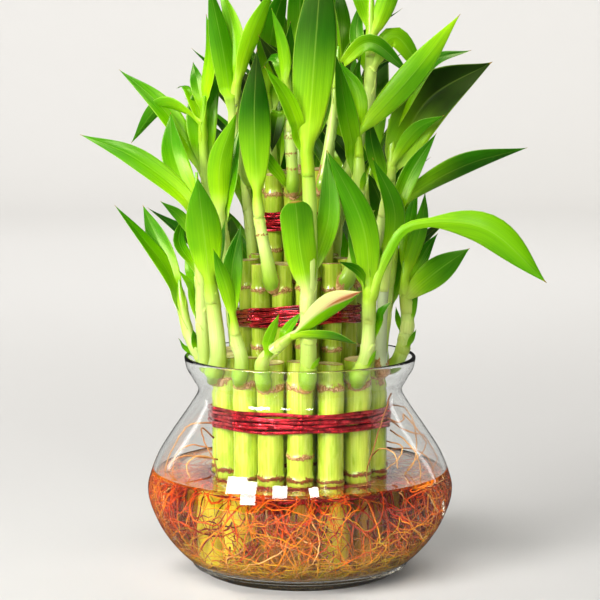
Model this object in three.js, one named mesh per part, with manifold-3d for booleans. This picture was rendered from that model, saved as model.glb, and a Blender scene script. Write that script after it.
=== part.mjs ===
// Lucky bamboo: three rings of cut canes, tied with red wire, rooted in water in a glass bowl.
// Millimetres, +Z up, viewer on the -Y side. The origin is the middle of the bowl's flat foot.

import * as THREE from 'three';
import { mergeVertices } from 'three/addons/utils/BufferGeometryUtils.js';
import Module from 'manifold-3d';

const wasm = await Module();
wasm.setup();

// The bowl
const FOOT_RADIUS = 45.9;
const GLASS_WALL = 2.2;
const GLASS_FLOOR = 7;
const RIM_HEIGHT = 117.2;
const BOWL_SIDES = 30;
// Radius and height of the outer face, from the edge of the foot up to the rim
const BOWL_OUTSIDE = [
  [FOOT_RADIUS, 0], [51.5, 2], [64.5, 13.2], [73.5, 24.5], [79.4, 37],
  [81.2, 46], [79.8, 53.5], [75.2, 65], [67, 78], [58.4, 90.5], [54.2, 98.5],
  [57, 105], [60.2, 110.5], [61.4, 115.6],
];

// The water, the clearance between touching pieces, and the root mat
const GAP = 0.3;
const WATER_TOP = 55.4;
const WATER_ROOF = 3.2;
const WATER_WALL = 2.6;
const ROOT_MAT_RADIUS = 47;
const ROOT_MAT_HEIGHT = 3.4;
const ROOT_STRANDS = 22;

// The canes
const CANE_FOOT = GLASS_FLOOR + ROOT_MAT_HEIGHT + 2 * GAP;
const CANE_SIDES = 8;
const NODE_SWELL = 1.03;
const OUTER = {
  name: 'outer', x: 0, ring: 40, radius: 7.2, top: 119, node: 106.7, lowerNodes: { 4: 69.7, 12: 71 },
  angles: [-91, -68, -43.6, -22, 0, 23, 48, 75, 96.6, 118.1, 139.7, 161.2, 182.8, 204.3, 225.9, 247.4],
};
const MIDDLE = {
  name: 'middle', x: -1.3, ring: 26.4, radius: 5.6, top: 168.5, node: 155,
  lowerNodes: { 0: 124, 2: 125.5, 3: 123, 8: 124 },
  angles: [-45.6, -17.6, 9.6, 42.5, 85, 113.7, 142.3, 171, 199.7, 228.4, 257, 285.7],
};
const INNER = {
  name: 'inner', x: -1.9, ring: 15.2, radius: 4.8, top: 214.8, node: 204, lowerNodes: { 0: 174 },
  angles: [-52, -7, 38, 83, 128, 173, 218, 263],
};

// The wire ties: lowest and highest edge, turns of wire that show, sides of the ring, and how
// much it climbs to the right and to the front
const TIES = [
  { name: 'tie_outer_lower', tier: OUTER, low: 45.5, high: 51.7, turns: 2, sides: 28, tilt: [0, 0] },
  { name: 'tie_outer', tier: OUTER, low: 80, high: 90.4, turns: 3, sides: 28, tilt: [0, 0.05] },
  { name: 'tie_middle', tier: MIDDLE, low: 133, high: 143, turns: 3, sides: 20, tilt: [0.043, 0.12] },
  { name: 'tie_inner', tier: INNER, low: 184.2, high: 194.2, turns: 3, sides: 16, tilt: [0, 0] },
];
const WIRE_GROOVE = 0.5;
const TIE_THICKNESS = 1.45;

// The leaves: thickness at the midrib, and how far the edges rise from it as a share of half the width
const LEAF_THICKNESS = 1.2;
const LEAF_CHANNEL = 0.18;

// The stems' sides, and the smallest detail kept where grown pieces join
const STEM_SIDES = 5;
const FINEST = 0.025;

// Where the front view was read from: the eye's distance and height
const EYE_DISTANCE = 1200;
const EYE_HEIGHT = 294;

// Shoots on the front of the plant, read in the front view as x and z at the bowl's middle plane.
// bulb is the direction, in degrees from the front, in which the shoot leaves its cane.
// stem rows are x, z, depth y and radius. leaves rows are the height on the stem, the points that
// the midrib passes (the last is the tip), the width seen, the tip's depth from the stem, and the
// share of the leaf that is a narrow stalk.
const FRONT_SHOOTS = [
  {
    stalk: 'outer_stalk_16', bulb: -96, size: 4,
    stem: [[-53, 116, 7.5, 3.3], [-59, 128, 9.5, 3.1], [-62.5, 145, 13, 2.6], [-64, 157, 15, 1.2]],
    leaves: [
      [138, [[-72, 164], [-98, 197]], 10, 12],
      [150, [[-73, 173], [-83, 197]], 13, 24],
    ],
  },
  {
    stalk: 'outer_stalk_01', bulb: -97, size: 4.2,
    stem: [[-50.5, 116, -7, 3.8], [-52, 140, -8, 3.4], [-53, 170, -8, 3], [-54, 192, -6, 2.4],
      [-54.5, 214, -4, 1.2]],
    leaves: [
      [135, [[-56, 150], [-65, 163]], 5, -6],
      [145, [[-57, 158], [-61, 171]], 6, 8],
      [160, [[-64, 176], [-61, 192]], 6, 14],
      [176, [[-63, 190], [-74, 199]], 7, -14],
      [188, [[-63, 203], [-88, 222], [-116, 234]], 12, 10],
      [192, [[-66, 222], [-68, 246]], 14, 22],
    ],
  },
  {
    stalk: 'outer_stalk_02', bulb: -60, size: 4.8,
    stem: [[-43.5, 116, -27, 4.4], [-45, 135, -28, 4], [-47, 150, -29, 3.8], [-49.5, 170, -31, 1.6]],
    leaves: [
      [156, [[-51.5, 188], [-54, 212]], 19, -14],
      [150, [[-42, 172], [-39, 191]], 5, 12],
    ],
  },
  {
    stalk: 'outer_stalk_03', bulb: -22, size: 4,
    stem: [[-31, 114, -41, 3.6], [-34, 126, -42, 3.2], [-36, 142, -42, 1.6]],
    leaves: [
      [136, [[-39, 153], [-46, 174]], 8, -8],
      [138, [[-36, 162], [-31, 187]], 11, 6],
    ],
  },
  {
    stalk: 'outer_stalk_04', bulb: -22, size: 4,
    stem: [[-20, 113, -49, 3.4], [-11, 122, -52, 3], [1, 131, -54, 1.6]],
    leaves: [
      [114, [[-16, 126], [-11, 139]], 6, -8],
      [129, [[15, 143], [33, 151]], 12, -6],
      [127, [[15, 126], [31, 122.5]], 6, 4],
      [121, [[-6, 131], [1, 140]], 5, 2],
    ],
  },
  {
    stalk: 'outer_stalk_05', bulb: 25, size: 4.4,
    stem: [[4.5, 118, -50, 4.2], [4, 140, -51, 4], [5, 160, -51, 3.9], [5, 200, -50, 3.6],
      [3, 230, -48, 2.8], [1, 250, -47, 1.2]],
    leaves: [
      [150, [[0, 174], [-2.5, 195], [-3, 189]], 18, -34],
      [158, [[15, 190], [14, 226]], 12, 8],
      [222, [[-6, 250], [-19, 270]], 9, -10],
      [224, [[8, 280], [12, 335]], 22, -8],
      [226, [[11, 250], [16, 267]], 11, 12],
    ],
  },
  {
    stalk: 'outer_stalk_07', bulb: -5, size: 4.4,
    stem: [[34, 112, -41, 4], [36, 122, -43, 3.6], [37, 150, -42, 3.2], [38, 160, -41, 1.4]],
    leaves: [
      [148, [[33, 186], [14, 226]], 15, -10],
      [146, [[31, 171], [25, 194]], 9, 4],
      [150, [[31, 161], [20, 167]], 4, -12],
      [146, [[46, 170], [60, 186], [98, 184], [131, 155]], 17, -6, 0.45],
      [150, [[47, 168], [53, 178]], 5, 8],
      [124, [[41, 137], [49, 146]], 5, -5],
    ],
  },
  {
    stalk: 'outer_stalk_08', bulb: 30, size: 3.8,
    stem: [[43, 114, -19, 3.2], [43, 125, -19, 3], [44, 150, -19, 2.8], [46, 170, -18, 2.6],
      [48, 187, -16, 2.2], [50, 204, -14, 1]],
    leaves: [
      [163, [[50, 193], [38, 222]], 11, -8],
      [186, [[58, 213], [72, 235]], 10, 10],
      [192, [[62, 204], [88, 218], [120, 227]], 12, 24],
    ],
  },
  {
    stalk: 'outer_stalk_09', bulb: 88, size: 4.2,
    stem: [[52, 114, 3, 3.8], [55, 122, 2, 3.8], [57, 134, 2, 3.6], [56, 150, 3, 3.3],
      [55, 167, 4, 1.6]],
    leaves: [
      [148, [[73, 162], [90, 174]], 15, -10],
      [152, [[66, 172], [73, 182]], 8, 8],
      [158, [[64, 186], [66, 204]], 9, -6],
      [160, [[58, 186], [62, 206]], 8, 18],
    ],
  },
  {
    stalk: 'middle_stalk_02', bulb: -50, size: 4.2,
    stem: [[-17.5, 168, -32, 3.4], [-20, 180, -32, 3], [-22, 195, -31, 2.8], [-23, 214, -30, 1.4]],
    leaves: [
      [202, [[-24, 242], [-22.5, 279]], 17, -10],
    ],
  },
  {
    stalk: 'middle_stalk_04', bulb: 60, size: 4.4,
    stem: [[28.5, 166, -25, 3.8], [29.5, 182, -25, 3.6], [31, 215, -24, 3.2], [30, 243, -22, 1.4]],
    leaves: [
      [210, [[24, 245], [18, 278]], 10, -8],
      [232, [[30, 254], [20, 273]], 10, 6],
      [234, [[57, 263], [84, 297]], 14, -14],
    ],
  },
  {
    stalk: 'middle_stalk_05', bulb: 85, size: 4,
    stem: [[38, 170, -4, 3.2], [43, 187, -5, 3], [47, 207, -6, 2.8], [48, 228, -4, 2.2],
      [47, 242, -2, 1]],
    leaves: [
      [214, [[66, 251], [101, 272]], 27, 12],
      [234, [[66, 269], [90, 278]], 9, -6],
      [218, [[61, 236], [76, 244]], 8, -12],
      [200, [[38, 228], [36, 246]], 9, -6],
    ],
  },
  {
    stalk: 'middle_stalk_12', bulb: -80, size: 4,
    stem: [[-38, 168, -10, 3], [-41, 182, -12, 3], [-43, 197, -12, 2.6], [-44, 214, -11, 1.2]],
    leaves: [
      [190, [[-42, 219], [-33, 246]], 13, -10],
      [184, [[-36, 212], [-31, 240]], 8, 6],
    ],
  },
  {
    stalk: 'middle_stalk_11', bulb: -103, size: 4,
    stem: [[-40, 170, 10, 3.2], [-46, 192, 12, 3], [-50, 215, 12, 2.6], [-51, 236, 10, 2.2],
      [-50, 254, 8, 1]],
    leaves: [
      [216, [[-51, 248], [-39, 272]], 17, 8],
      [240, [[-72, 249], [-89, 229]], 8, 16],
      [246, [[-54, 262], [-56, 272]], 8, 10],
      [248, [[-46, 276], [-49, 297]], 7, -8],
      [212, [[-71, 246], [-95, 268]], 11, -16],
    ],
  },
  {
    stalk: 'inner_stalk_08', bulb: -90, size: 3.6,
    stem: [[-29, 213, 1, 3], [-33, 228, 0, 2.9], [-35, 243, -1, 2.7], [-33, 263, -3, 2.2],
      [-32, 276, -4, 1]],
    leaves: [
      [240, [[-40, 276], [-48, 315]], 12, -6],
      [252, [[-34, 286], [-43, 313]], 10, 8],
      [260, [[-25, 286], [-13, 312]], 9, -8],
      [220, [[-27, 240], [-25, 256]], 8, 14],
    ],
  },
  {
    stalk: 'inner_stalk_02', bulb: 0, size: 3.4,
    stem: [[-4, 214, -22, 3], [-5, 227, -22, 3], [-6, 242, -21, 2.6], [-7, 262, -19, 2.2],
      [-7.5, 276, -18, 1]],
    leaves: [
      [206, [[-14, 216], [-24, 232]], 6, -14],
      [258, [[-10, 281], [-15, 300]], 7, -4],
      [262, [[-6, 279], [-5, 293]], 6, 6],
      [242, [[-11, 246], [-15, 224]], 9, -5],
      [256, [[-13, 274], [-21, 267]], 6, 12],
    ],
  },
  {
    stalk: 'inner_stalk_03', bulb: 40, size: 3.4,
    stem: [[13, 216, -15, 2.8], [17, 240, -14, 2.5], [19, 262, -13, 2.2], [20, 280, -12, 1]],
    leaves: [
      [268, [[37, 282], [59, 264]], 9, -6],
      [248, [[24, 270], [31, 274]], 8, 4],
      [258, [[14, 290], [19, 316]], 9, 8],
    ],
  },
  {
    stalk: 'inner_stalk_04', bulb: 83, size: 3.6,
    stem: [[26, 217, -4, 3.2], [32, 234, -5, 3.2], [36, 252, -5, 3.2], [37, 277, -5, 2.8],
      [37, 300, -4, 2], [37, 313, -3, 1]],
    leaves: [
      [268, [[50, 285], [67, 261]], 11, 6],
      [284, [[44, 300], [53, 328]], 11, -8],
      [288, [[32, 306], [26, 329]], 10, 6],
      [262, [[30, 286], [33, 306]], 8, 10],
      [240, [[29, 262], [32, 276]], 7, -10],
    ],
  },
];
// Depths tried in turn for the tip of a front leaf, until it lies clear of the leaves round it
const FRONT_SHIFTS = [0, 6, -6, 12, -12, 18, -18, 25, -25, 33, -33, 42, -42, 52, -52, 63];

// Shoots on the back of the plant follow a rule with seeded draws
const BACK_SEED = 20261;
const BACK_STALKS = [
  'outer_stalk_10', 'outer_stalk_11', 'outer_stalk_12', 'outer_stalk_13', 'outer_stalk_14',
  'outer_stalk_15', 'middle_stalk_06', 'middle_stalk_07', 'middle_stalk_08', 'middle_stalk_09',
  'middle_stalk_10', 'inner_stalk_05', 'inner_stalk_06', 'inner_stalk_07',
];
const BACK_LEAVES = { outer: 4, middle: 4, inner: 5 };
const BACK_STEM_RISE = { outer: [70, 105], middle: [62, 84], inner: [52, 66] };
const BACK_LEAF_LENGTH = [50, 82];
const BACK_LEAF_WIDTH = [11, 18];
const LEAF_TURN = 137.5;
// Turns and tilts tried in turn for a back leaf, in degrees, until it lies clear
const BACK_TURNS = [0, 20, -20, 40, -40, 60, -60, 80, -80];
const BACK_TILTS = [0, 14, -14];

// Colours
const COLOURS = {
  glass: 0xdfe8ea, water: 0xe8c27a, roots: 0xd9651c, wire: 0xb3101f, cane: 0xa9c93f,
};

const degrees = Math.PI / 180;

// A repeatable draw between 0 and 1
let drawState = BACK_SEED;
function draw() {
  drawState = (drawState * 16807) % 2147483647;
  return drawState / 2147483647;
}

function drawBetween(range) {
  return range[0] + (range[1] - range[0]) * draw();
}

// A direction in the level plane, in degrees from the front, turning towards +X
function heading(angle) {
  return new THREE.Vector3(Math.sin(angle * degrees), -Math.cos(angle * degrees), 0);
}

// The place at depth y that the viewer sees at x and z on the bowl's middle plane
function seenAt(x, z, y) {
  const scale = 1 + y / EYE_DISTANCE;
  return new THREE.Vector3(x * scale, y, EYE_HEIGHT + (z - EYE_HEIGHT) * scale);
}

function seenHeight(place) {
  return EYE_HEIGHT + (place.z - EYE_HEIGHT) / (1 + place.y / EYE_DISTANCE);
}

function spline(places) {
  return new THREE.CatmullRomCurve3(places, false, 'catmullrom', 0.5);
}

// A closed solid from corner places and triangles, turned so that its faces point out
function closedSolid(places, triangles) {
  const corners = new Float32Array(places.flatMap((place) => [place.x, place.y, place.z]));
  let volume = 0;
  for (const [a, b, c] of triangles) {
    volume += places[a].dot(new THREE.Vector3().crossVectors(places[b], places[c]));
  }
  const turned = triangles.map(([a, b, c]) => (volume > 0 ? [a, b, c] : [a, c, b]));
  const mesh = new wasm.Mesh({
    numProp: 3,
    vertProperties: corners,
    triVerts: new Uint32Array(turned.flat()),
  });
  return new wasm.Manifold(mesh);
}

function solidFromGeometry(geometry) {
  geometry.deleteAttribute('normal');
  geometry.deleteAttribute('uv');
  const merged = mergeVertices(geometry, 1e-4);
  const corners = merged.getAttribute('position');
  const places = [];
  for (let i = 0; i < corners.count; i += 1) {
    places.push(new THREE.Vector3().fromBufferAttribute(corners, i));
  }
  const triangles = [];
  for (let i = 0; i < merged.index.count; i += 3) {
    triangles.push([merged.index.getX(i), merged.index.getX(i + 1), merged.index.getX(i + 2)]);
  }
  return closedSolid(places, triangles.filter(([a, b, c]) => a !== b && b !== c && c !== a));
}

// A turned solid from radius and height pairs, starting and ending on the axis or closed on itself
function turned(profile, sides) {
  const points = profile.map(([radius, height]) => new THREE.Vector2(radius, height));
  const geometry = new THREE.LatheGeometry(points, sides);
  geometry.rotateX(Math.PI / 2);
  return solidFromGeometry(geometry);
}

// Rings of places joined into a closed skin, with flat ends or a pointed end
function skinOver(rings, point = null) {
  const sides = rings[0].length;
  const places = rings.flat();
  const triangles = [];
  for (let ring = 0; ring + 1 < rings.length; ring += 1) {
    for (let side = 0; side < sides; side += 1) {
      const a = ring * sides + side;
      const b = ring * sides + ((side + 1) % sides);
      triangles.push([a, b, b + sides], [a, b + sides, a + sides]);
    }
  }
  for (let side = 1; side + 1 < sides; side += 1) {
    triangles.push([0, side + 1, side]);
  }
  const last = (rings.length - 1) * sides;
  if (point) {
    places.push(point);
    for (let side = 0; side < sides; side += 1) {
      triangles.push([last + side, last + ((side + 1) % sides), places.length - 1]);
    }
  } else {
    for (let side = 1; side + 1 < sides; side += 1) {
      triangles.push([last, last + side, last + side + 1]);
    }
  }
  return closedSolid(places, triangles);
}

// A round tube along a spline, with a radius for each of its points
function tubeAlong(places, radii, sides, pointed) {
  const path = spline(places);
  const spans = places.length - 1;
  const rings = [];
  let across = new THREE.Vector3(1, 0.3, 0);
  const count = pointed ? spans : spans + 1;
  for (let i = 0; i < count; i += 1) {
    const centre = path.getPoint(i / spans);
    const along = path.getTangent(i / spans);
    across = across.addScaledVector(along, -across.dot(along)).normalize();
    const third = new THREE.Vector3().crossVectors(along, across);
    const ring = [];
    for (let side = 0; side < sides; side += 1) {
      const angle = (2 * Math.PI * side) / sides;
      ring.push(centre.clone()
        .addScaledVector(across, radii[i] * Math.cos(angle))
        .addScaledVector(third, radii[i] * Math.sin(angle)));
    }
    rings.push(ring);
  }
  return skinOver(rings, pointed ? places[spans].clone() : null);
}

// How wide a leaf is at a share of its length: a narrow base, widest before the middle, a long tip
function leafOutline(share) {
  const rise = 0.3 + 0.7 * Math.sin(Math.min(share / 0.46, 1) * Math.PI / 2);
  const fall = share > 0.46 ? Math.cos(((share - 0.46) / 0.54) * Math.PI / 2) : 1;
  return rise * fall ** 0.85;
}

// A leaf's stations along its length: few on a short one
function stationsFor(length) {
  if (length < 28) {
    return [0, 0.5];
  }
  return length < 80 ? [0, 0.28, 0.58, 0.84] : [0, 0.22, 0.45, 0.68, 0.87];
}

// A blade with a raised channel: left edge, rib above, right edge and rib below at each station
function blade(places, width, across, neck) {
  const path = spline(places);
  const length = path.getLength();
  const stalked = neck > 0 ? [0, 0.33 * neck, 0.66 * neck] : [];
  const stations = [...stalked, ...stationsFor(length).map((share) => neck + (1 - neck) * share)];
  const rings = stations.map((at) => {
    const centre = path.getPoint(at);
    const along = path.getTangent(at);
    const side = across.clone().addScaledVector(along, -across.dot(along)).normalize();
    const up = new THREE.Vector3().crossVectors(side, along);
    const half = 0.5 * width * leafOutline(Math.max(at - neck, 0) / (1 - neck));
    const lift = half * LEAF_CHANNEL;
    return [
      centre.clone().addScaledVector(side, half).addScaledVector(up, lift),
      centre.clone().addScaledVector(up, LEAF_THICKNESS / 2),
      centre.clone().addScaledVector(side, -half).addScaledVector(up, lift),
      centre.clone().addScaledVector(up, -LEAF_THICKNESS / 2),
    ];
  });
  const corners = rings.flat();
  corners.push(places[places.length - 1].clone());
  const tip = corners.length - 1;
  const triangles = [[0, 1, 3], [1, 2, 3]];
  for (let ring = 0; ring + 1 < rings.length; ring += 1) {
    const [left, above, right, below] = [0, 1, 2, 3].map((k) => ring * 4 + k);
    triangles.push([left, left + 4, above + 4], [left, above + 4, above]);
    triangles.push([above, above + 4, right], [above + 4, right + 4, right]);
    triangles.push([right, right + 4, below + 4], [right, below + 4, below]);
    triangles.push([below, below + 4, left], [below + 4, left + 4, left]);
  }
  const last = (rings.length - 1) * 4;
  for (let side = 0; side < 4; side += 1) {
    triangles.push([last + side, tip, last + ((side + 1) % 4)]);
  }
  return closedSolid(corners, triangles);
}

// The largest body of a solid: scraps are dropped and sealed hollows are filled
function largestBody(solid) {
  const bodies = solid.decompose();
  bodies.sort((first, second) => second.volume() - first.volume());
  return bodies[0];
}

// Everything placed so far, with its stalk, so that later leaves can be laid clear of it
const placed = [];

function boxOf(solid) {
  const { min, max } = solid.boundingBox();
  return new THREE.Box3(new THREE.Vector3(...min), new THREE.Vector3(...max));
}

function place(owner, solid) {
  placed.push({ owner, solid, box: boxOf(solid).expandByScalar(2 * GAP) });
}

function liesClear(owner, solid) {
  const box = boxOf(solid);
  const near = placed.filter((other) => other.owner !== owner && other.box.intersectsBox(box));
  return near.every((other) => solid.minGap(other.solid, 3 * GAP) > 1.2 * GAP);
}

// The bowl, from its outer face and the same face moved in by the thickness of the glass
function movedIn(profile, distance) {
  return profile.map(([radius, height], i) => {
    const before = profile[Math.max(i - 1, 0)];
    const after = profile[Math.min(i + 1, profile.length - 1)];
    const run = after[0] - before[0];
    const rise = after[1] - before[1];
    const length = Math.hypot(run, rise);
    return [radius - (distance * rise) / length, height + (distance * run) / length];
  });
}

// The part of a profile between two heights, with an added point at each cut
function between(profile, low, high) {
  const kept = [];
  for (let i = 0; i < profile.length; i += 1) {
    const [radius, height] = profile[i];
    if (i > 0) {
      const [radiusBefore, heightBefore] = profile[i - 1];
      for (const cut of [low, high]) {
        if ((heightBefore - cut) * (height - cut) < 0) {
          const share = (cut - heightBefore) / (height - heightBefore);
          kept.push([radiusBefore + share * (radius - radiusBefore), cut]);
        }
      }
    }
    if (height > low && height < high) {
      kept.push([radius, height]);
    }
  }
  return kept;
}

function makeBowl() {
  const inside = between(movedIn(BOWL_OUTSIDE, GLASS_WALL), GLASS_FLOOR, RIM_HEIGHT);
  const rim = [[61.1, RIM_HEIGHT - 0.3], [60.3, RIM_HEIGHT], [59.5, RIM_HEIGHT - 0.3]];
  return turned([
    [0, 0], ...BOWL_OUTSIDE, ...rim, ...inside.reverse(), [0, GLASS_FLOOR],
  ], BOWL_SIDES);
}

// An upright cane with a ridge at each of its nodes
function makeCane(tier, angle, top, nodes, spare = 0) {
  const middle = heading(angle).multiplyScalar(tier.ring);
  const levels = [[CANE_FOOT, 1]];
  nodes.forEach((node, i) => {
    levels.push([node - 2.2, 1], [node, NODE_SWELL]);
    if (i + 1 < nodes.length) {
      levels.push([node + 1.6, 1]);
    }
  });
  levels.push([top, 0.97]);
  const rings = levels.map(([height, swell]) => {
    const ring = [];
    for (let side = 0; side < CANE_SIDES; side += 1) {
      const way = heading(angle + (360 * (side + 0.5)) / CANE_SIDES);
      const reach = tier.radius * swell + spare;
      ring.push(new THREE.Vector3(tier.x + middle.x + way.x * reach, middle.y + way.y * reach, height));
    }
    return ring;
  });
  return skinOver(rings);
}

function caneMiddle(tier, angle) {
  return heading(angle).multiplyScalar(tier.ring).add(new THREE.Vector3(tier.x, 0, 0));
}

// Each cane's own top and nodes: a ragged row of cuts, as on the tied bundle
function caneLevels(tier, index) {
  const ragged = ((index * 7) % 5) - 2;
  const top = tier.top + 0.5 * ragged;
  const node = tier.node + 0.4 * ragged;
  const lower = tier.lowerNodes[index];
  return { top, node, nodes: lower ? [lower, node] : [node] };
}

// The water: it fills the glass up to its surface, round the canes, with a plain pocket open below
// in which the roots lie
function makeWater(canes) {
  const wet = GLASS_FLOOR + GAP;
  const outside = between(movedIn(BOWL_OUTSIDE, GLASS_WALL + GAP), wet, WATER_TOP);
  const inward = movedIn(BOWL_OUTSIDE, GLASS_WALL + GAP + WATER_WALL);
  const pocket = between(inward, wet - 1, WATER_TOP - WATER_ROOF).filter((spot, i) => i !== 1);
  const body = turned([[0, wet], ...outside, [0, WATER_TOP]], BOWL_SIDES);
  const low = [[0, wet - 1], [pocket[0][0], wet - 1]];
  const hollow = turned([...low, ...pocket, [0, WATER_TOP - WATER_ROOF]], BOWL_SIDES);
  return body.subtract(hollow).subtract(wasm.Manifold.union(canes));
}

// The roots: a mat on the floor of the glass, with strands that rise and curl in the pocket
function makeRoots() {
  const low = GLASS_FLOOR + GAP;
  const high = low + ROOT_MAT_HEIGHT;
  const reach = ROOT_MAT_RADIUS;
  const mat = turned([[0, low], [reach - 1.5, low], [reach, low + 1.7], [reach - 1.5, high], [0, high]], 24);
  const strands = [mat];
  for (let i = 0; i < ROOT_STRANDS; i += 1) {
    const start = (360 * i) / ROOT_STRANDS;
    const swing = 14 * Math.sin(i * 2.4);
    const peak = 30 + 10 * Math.sin(i * 1.7);
    const outer = 43 + 0.62 * peak + 3 * Math.sin(i * 3.1);
    const spot = (angle, radius, height) => heading(angle).multiplyScalar(radius).setZ(height);
    const places = [
      spot(start, reach - 4, low + 1.6),
      spot(start + 0.2 * swing, reach + 2.4, low + 2.4),
      spot(start + 0.9 * swing, outer, peak),
      spot(start + 1.5 * swing, Math.max(outer - 4, 51.5), peak + 8),
      spot(start + 2 * swing, Math.max(outer - 9, 51.5), peak + 3),
    ];
    strands.push(tubeAlong(places, [1.2, 1.1, 1, 0.9, 0.6], 3, false));
  }
  return wasm.Manifold.union(strands);
}

// A tie: turns of wire side by side round a ring of canes
function makeTie({ tier, low, high, turns, sides, tilt }) {
  const cornerOut = tier.ring + tier.radius * Math.cos(Math.PI / CANE_SIDES);
  const cornerSide = tier.radius * Math.sin(Math.PI / CANE_SIDES);
  const inner = (Math.hypot(cornerOut, cornerSide) + GAP) / Math.cos(Math.PI / sides);
  const outer = inner + TIE_THICKNESS;
  const profile = [[inner, low], [outer - WIRE_GROOVE, low]];
  const pitch = (high - low) / turns;
  for (let turn = 0; turn < turns; turn += 1) {
    profile.push([outer, low + (turn + 0.5) * pitch]);
    profile.push([outer - WIRE_GROOVE, low + (turn + 1) * pitch]);
  }
  profile.push([inner, high], [inner, low]);
  const climb = ([x, y, z]) => [x + tier.x, y, z + tilt[0] * x - tilt[1] * y];
  return turned(profile, sides).warp((spot) => {
    [spot[0], spot[1], spot[2]] = climb(spot);
  });
}

// The stem of a shoot: out of the cane's side at its top node, then up through the stem's points
function stemPlaces(stalk, bulb, points) {
  const out = heading(bulb);
  const start = caneMiddle(stalk.tier, stalk.angle);
  const root = start.clone().addScaledVector(out, 0.35 * stalk.tier.radius).setZ(stalk.node - 0.5);
  const elbow = start.clone().addScaledVector(out, 1.18 * stalk.tier.radius).setZ(stalk.node + 2.4);
  return [root, elbow, ...points];
}

// The place on a stem at a height, found by halving
function placeAtHeight(path, height, heightOf) {
  let low = 0;
  let high = 1;
  for (let step = 0; step < 30; step += 1) {
    const middle = 0.5 * (low + high);
    if (heightOf(path.getPoint(middle)) < height) {
      low = middle;
    } else {
      high = middle;
    }
  }
  return path.getPoint(0.5 * (low + high));
}

// The direction across a leaf: in the view's plane, turned about the leaf's line so that a leaf
// that looks narrow for its length is one seen from its side
function frontLeafAcross(base, tip, seenWidth, width, flip) {
  const chord = new THREE.Vector3().subVectors(tip, base).normalize();
  const across = new THREE.Vector3().crossVectors(chord, new THREE.Vector3(0, 1, 0)).normalize();
  const deep = new THREE.Vector3().crossVectors(chord, across);
  const roll = Math.acos(Math.min(seenWidth / width, 1)) * flip;
  return across.multiplyScalar(Math.cos(roll)).addScaledVector(deep, Math.sin(roll));
}

function frontLeaf(path, row, flip, shift) {
  const [height, points, seenWidth, depth, neck = 0] = row;
  const base = placeAtHeight(path, height, seenHeight);
  const places = [base];
  points.forEach(([x, z], i) => {
    const share = ((i + 1) / points.length) ** 1.4;
    places.push(seenAt(x, z, base.y + (depth + shift) * share));
  });
  const tip = places[places.length - 1];
  const length = tip.distanceTo(base);
  const width = Math.max(seenWidth, Math.min(0.13 * length + 3, 15));
  const across = frontLeafAcross(base, tip, seenWidth, width, flip);
  if (places.length === 2) {
    places.splice(1, 0, base.clone().lerp(tip, 0.5));
  }
  return blade(places, width, across, neck);
}

function makeFrontShoot(stalk, shoot) {
  const points = shoot.stem.map(([x, z, y]) => seenAt(x, z, y));
  const places = stemPlaces(stalk, shoot.bulb, points);
  const radii = [shoot.size, 1.08 * shoot.size, ...shoot.stem.map((row) => row[3])];
  const stem = tubeAlong(places, radii, STEM_SIDES, true);
  place(stalk.name, stem);
  stalk.pieces.push(stem);
  stalk.path = spline(places);
}

function addFrontLeaves(stalk, shoot) {
  shoot.leaves.forEach((row, i) => {
    const flip = i % 2 === 0 ? 1 : -1;
    for (const shift of FRONT_SHIFTS) {
      const leaf = frontLeaf(stalk.path, row, flip, shift);
      if (liesClear(stalk.name, leaf)) {
        place(stalk.name, leaf);
        stalk.pieces.push(leaf);
        break;
      }
    }
  });
}

// A back shoot: a stem that leans out as it rises
function makeBackShoot(stalk) {
  const { tier } = stalk;
  const bulb = stalk.angle + 20 * (draw() - 0.5);
  const rise = drawBetween(BACK_STEM_RISE[tier.name]);
  const lean = 0.1 + 0.12 * draw();
  const size = 0.62 * tier.radius;
  const out = heading(bulb);
  const elbow = caneMiddle(tier, stalk.angle).addScaledVector(out, 1.25 * tier.radius);
  const points = [0.1, 0.4, 0.72, 1].map((share) => elbow.clone()
    .addScaledVector(out, lean * rise * share ** 1.4)
    .setZ(stalk.node + 2.4 + rise * share + 2));
  const places = stemPlaces(stalk, bulb, points);
  const radii = [size, 1.08 * size, 0.85 * size, 0.78 * size, 0.62 * size, 1];
  const stem = tubeAlong(places, radii, STEM_SIDES, true);
  place(stalk.name, stem);
  stalk.pieces.push(stem);
  stalk.path = spline(places);
  stalk.rise = rise;
  stalk.bulb = bulb;
}

function backLeaf(base, azimuth, tilt, length, width, arch, roll) {
  const way = heading(azimuth);
  const point = (share, slope) => base.clone()
    .addScaledVector(way, share * length * Math.cos(slope * degrees))
    .setZ(base.z + share * length * Math.sin(slope * degrees));
  const places = [base, point(0.52, tilt + arch), point(1, tilt)];
  const level = heading(azimuth + 90);
  const chord = new THREE.Vector3().subVectors(places[2], base).normalize();
  const up = new THREE.Vector3().crossVectors(level, chord);
  const across = level.multiplyScalar(Math.cos(roll * degrees))
    .addScaledVector(up, Math.sin(roll * degrees));
  return blade(places, width, across, 0);
}

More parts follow.
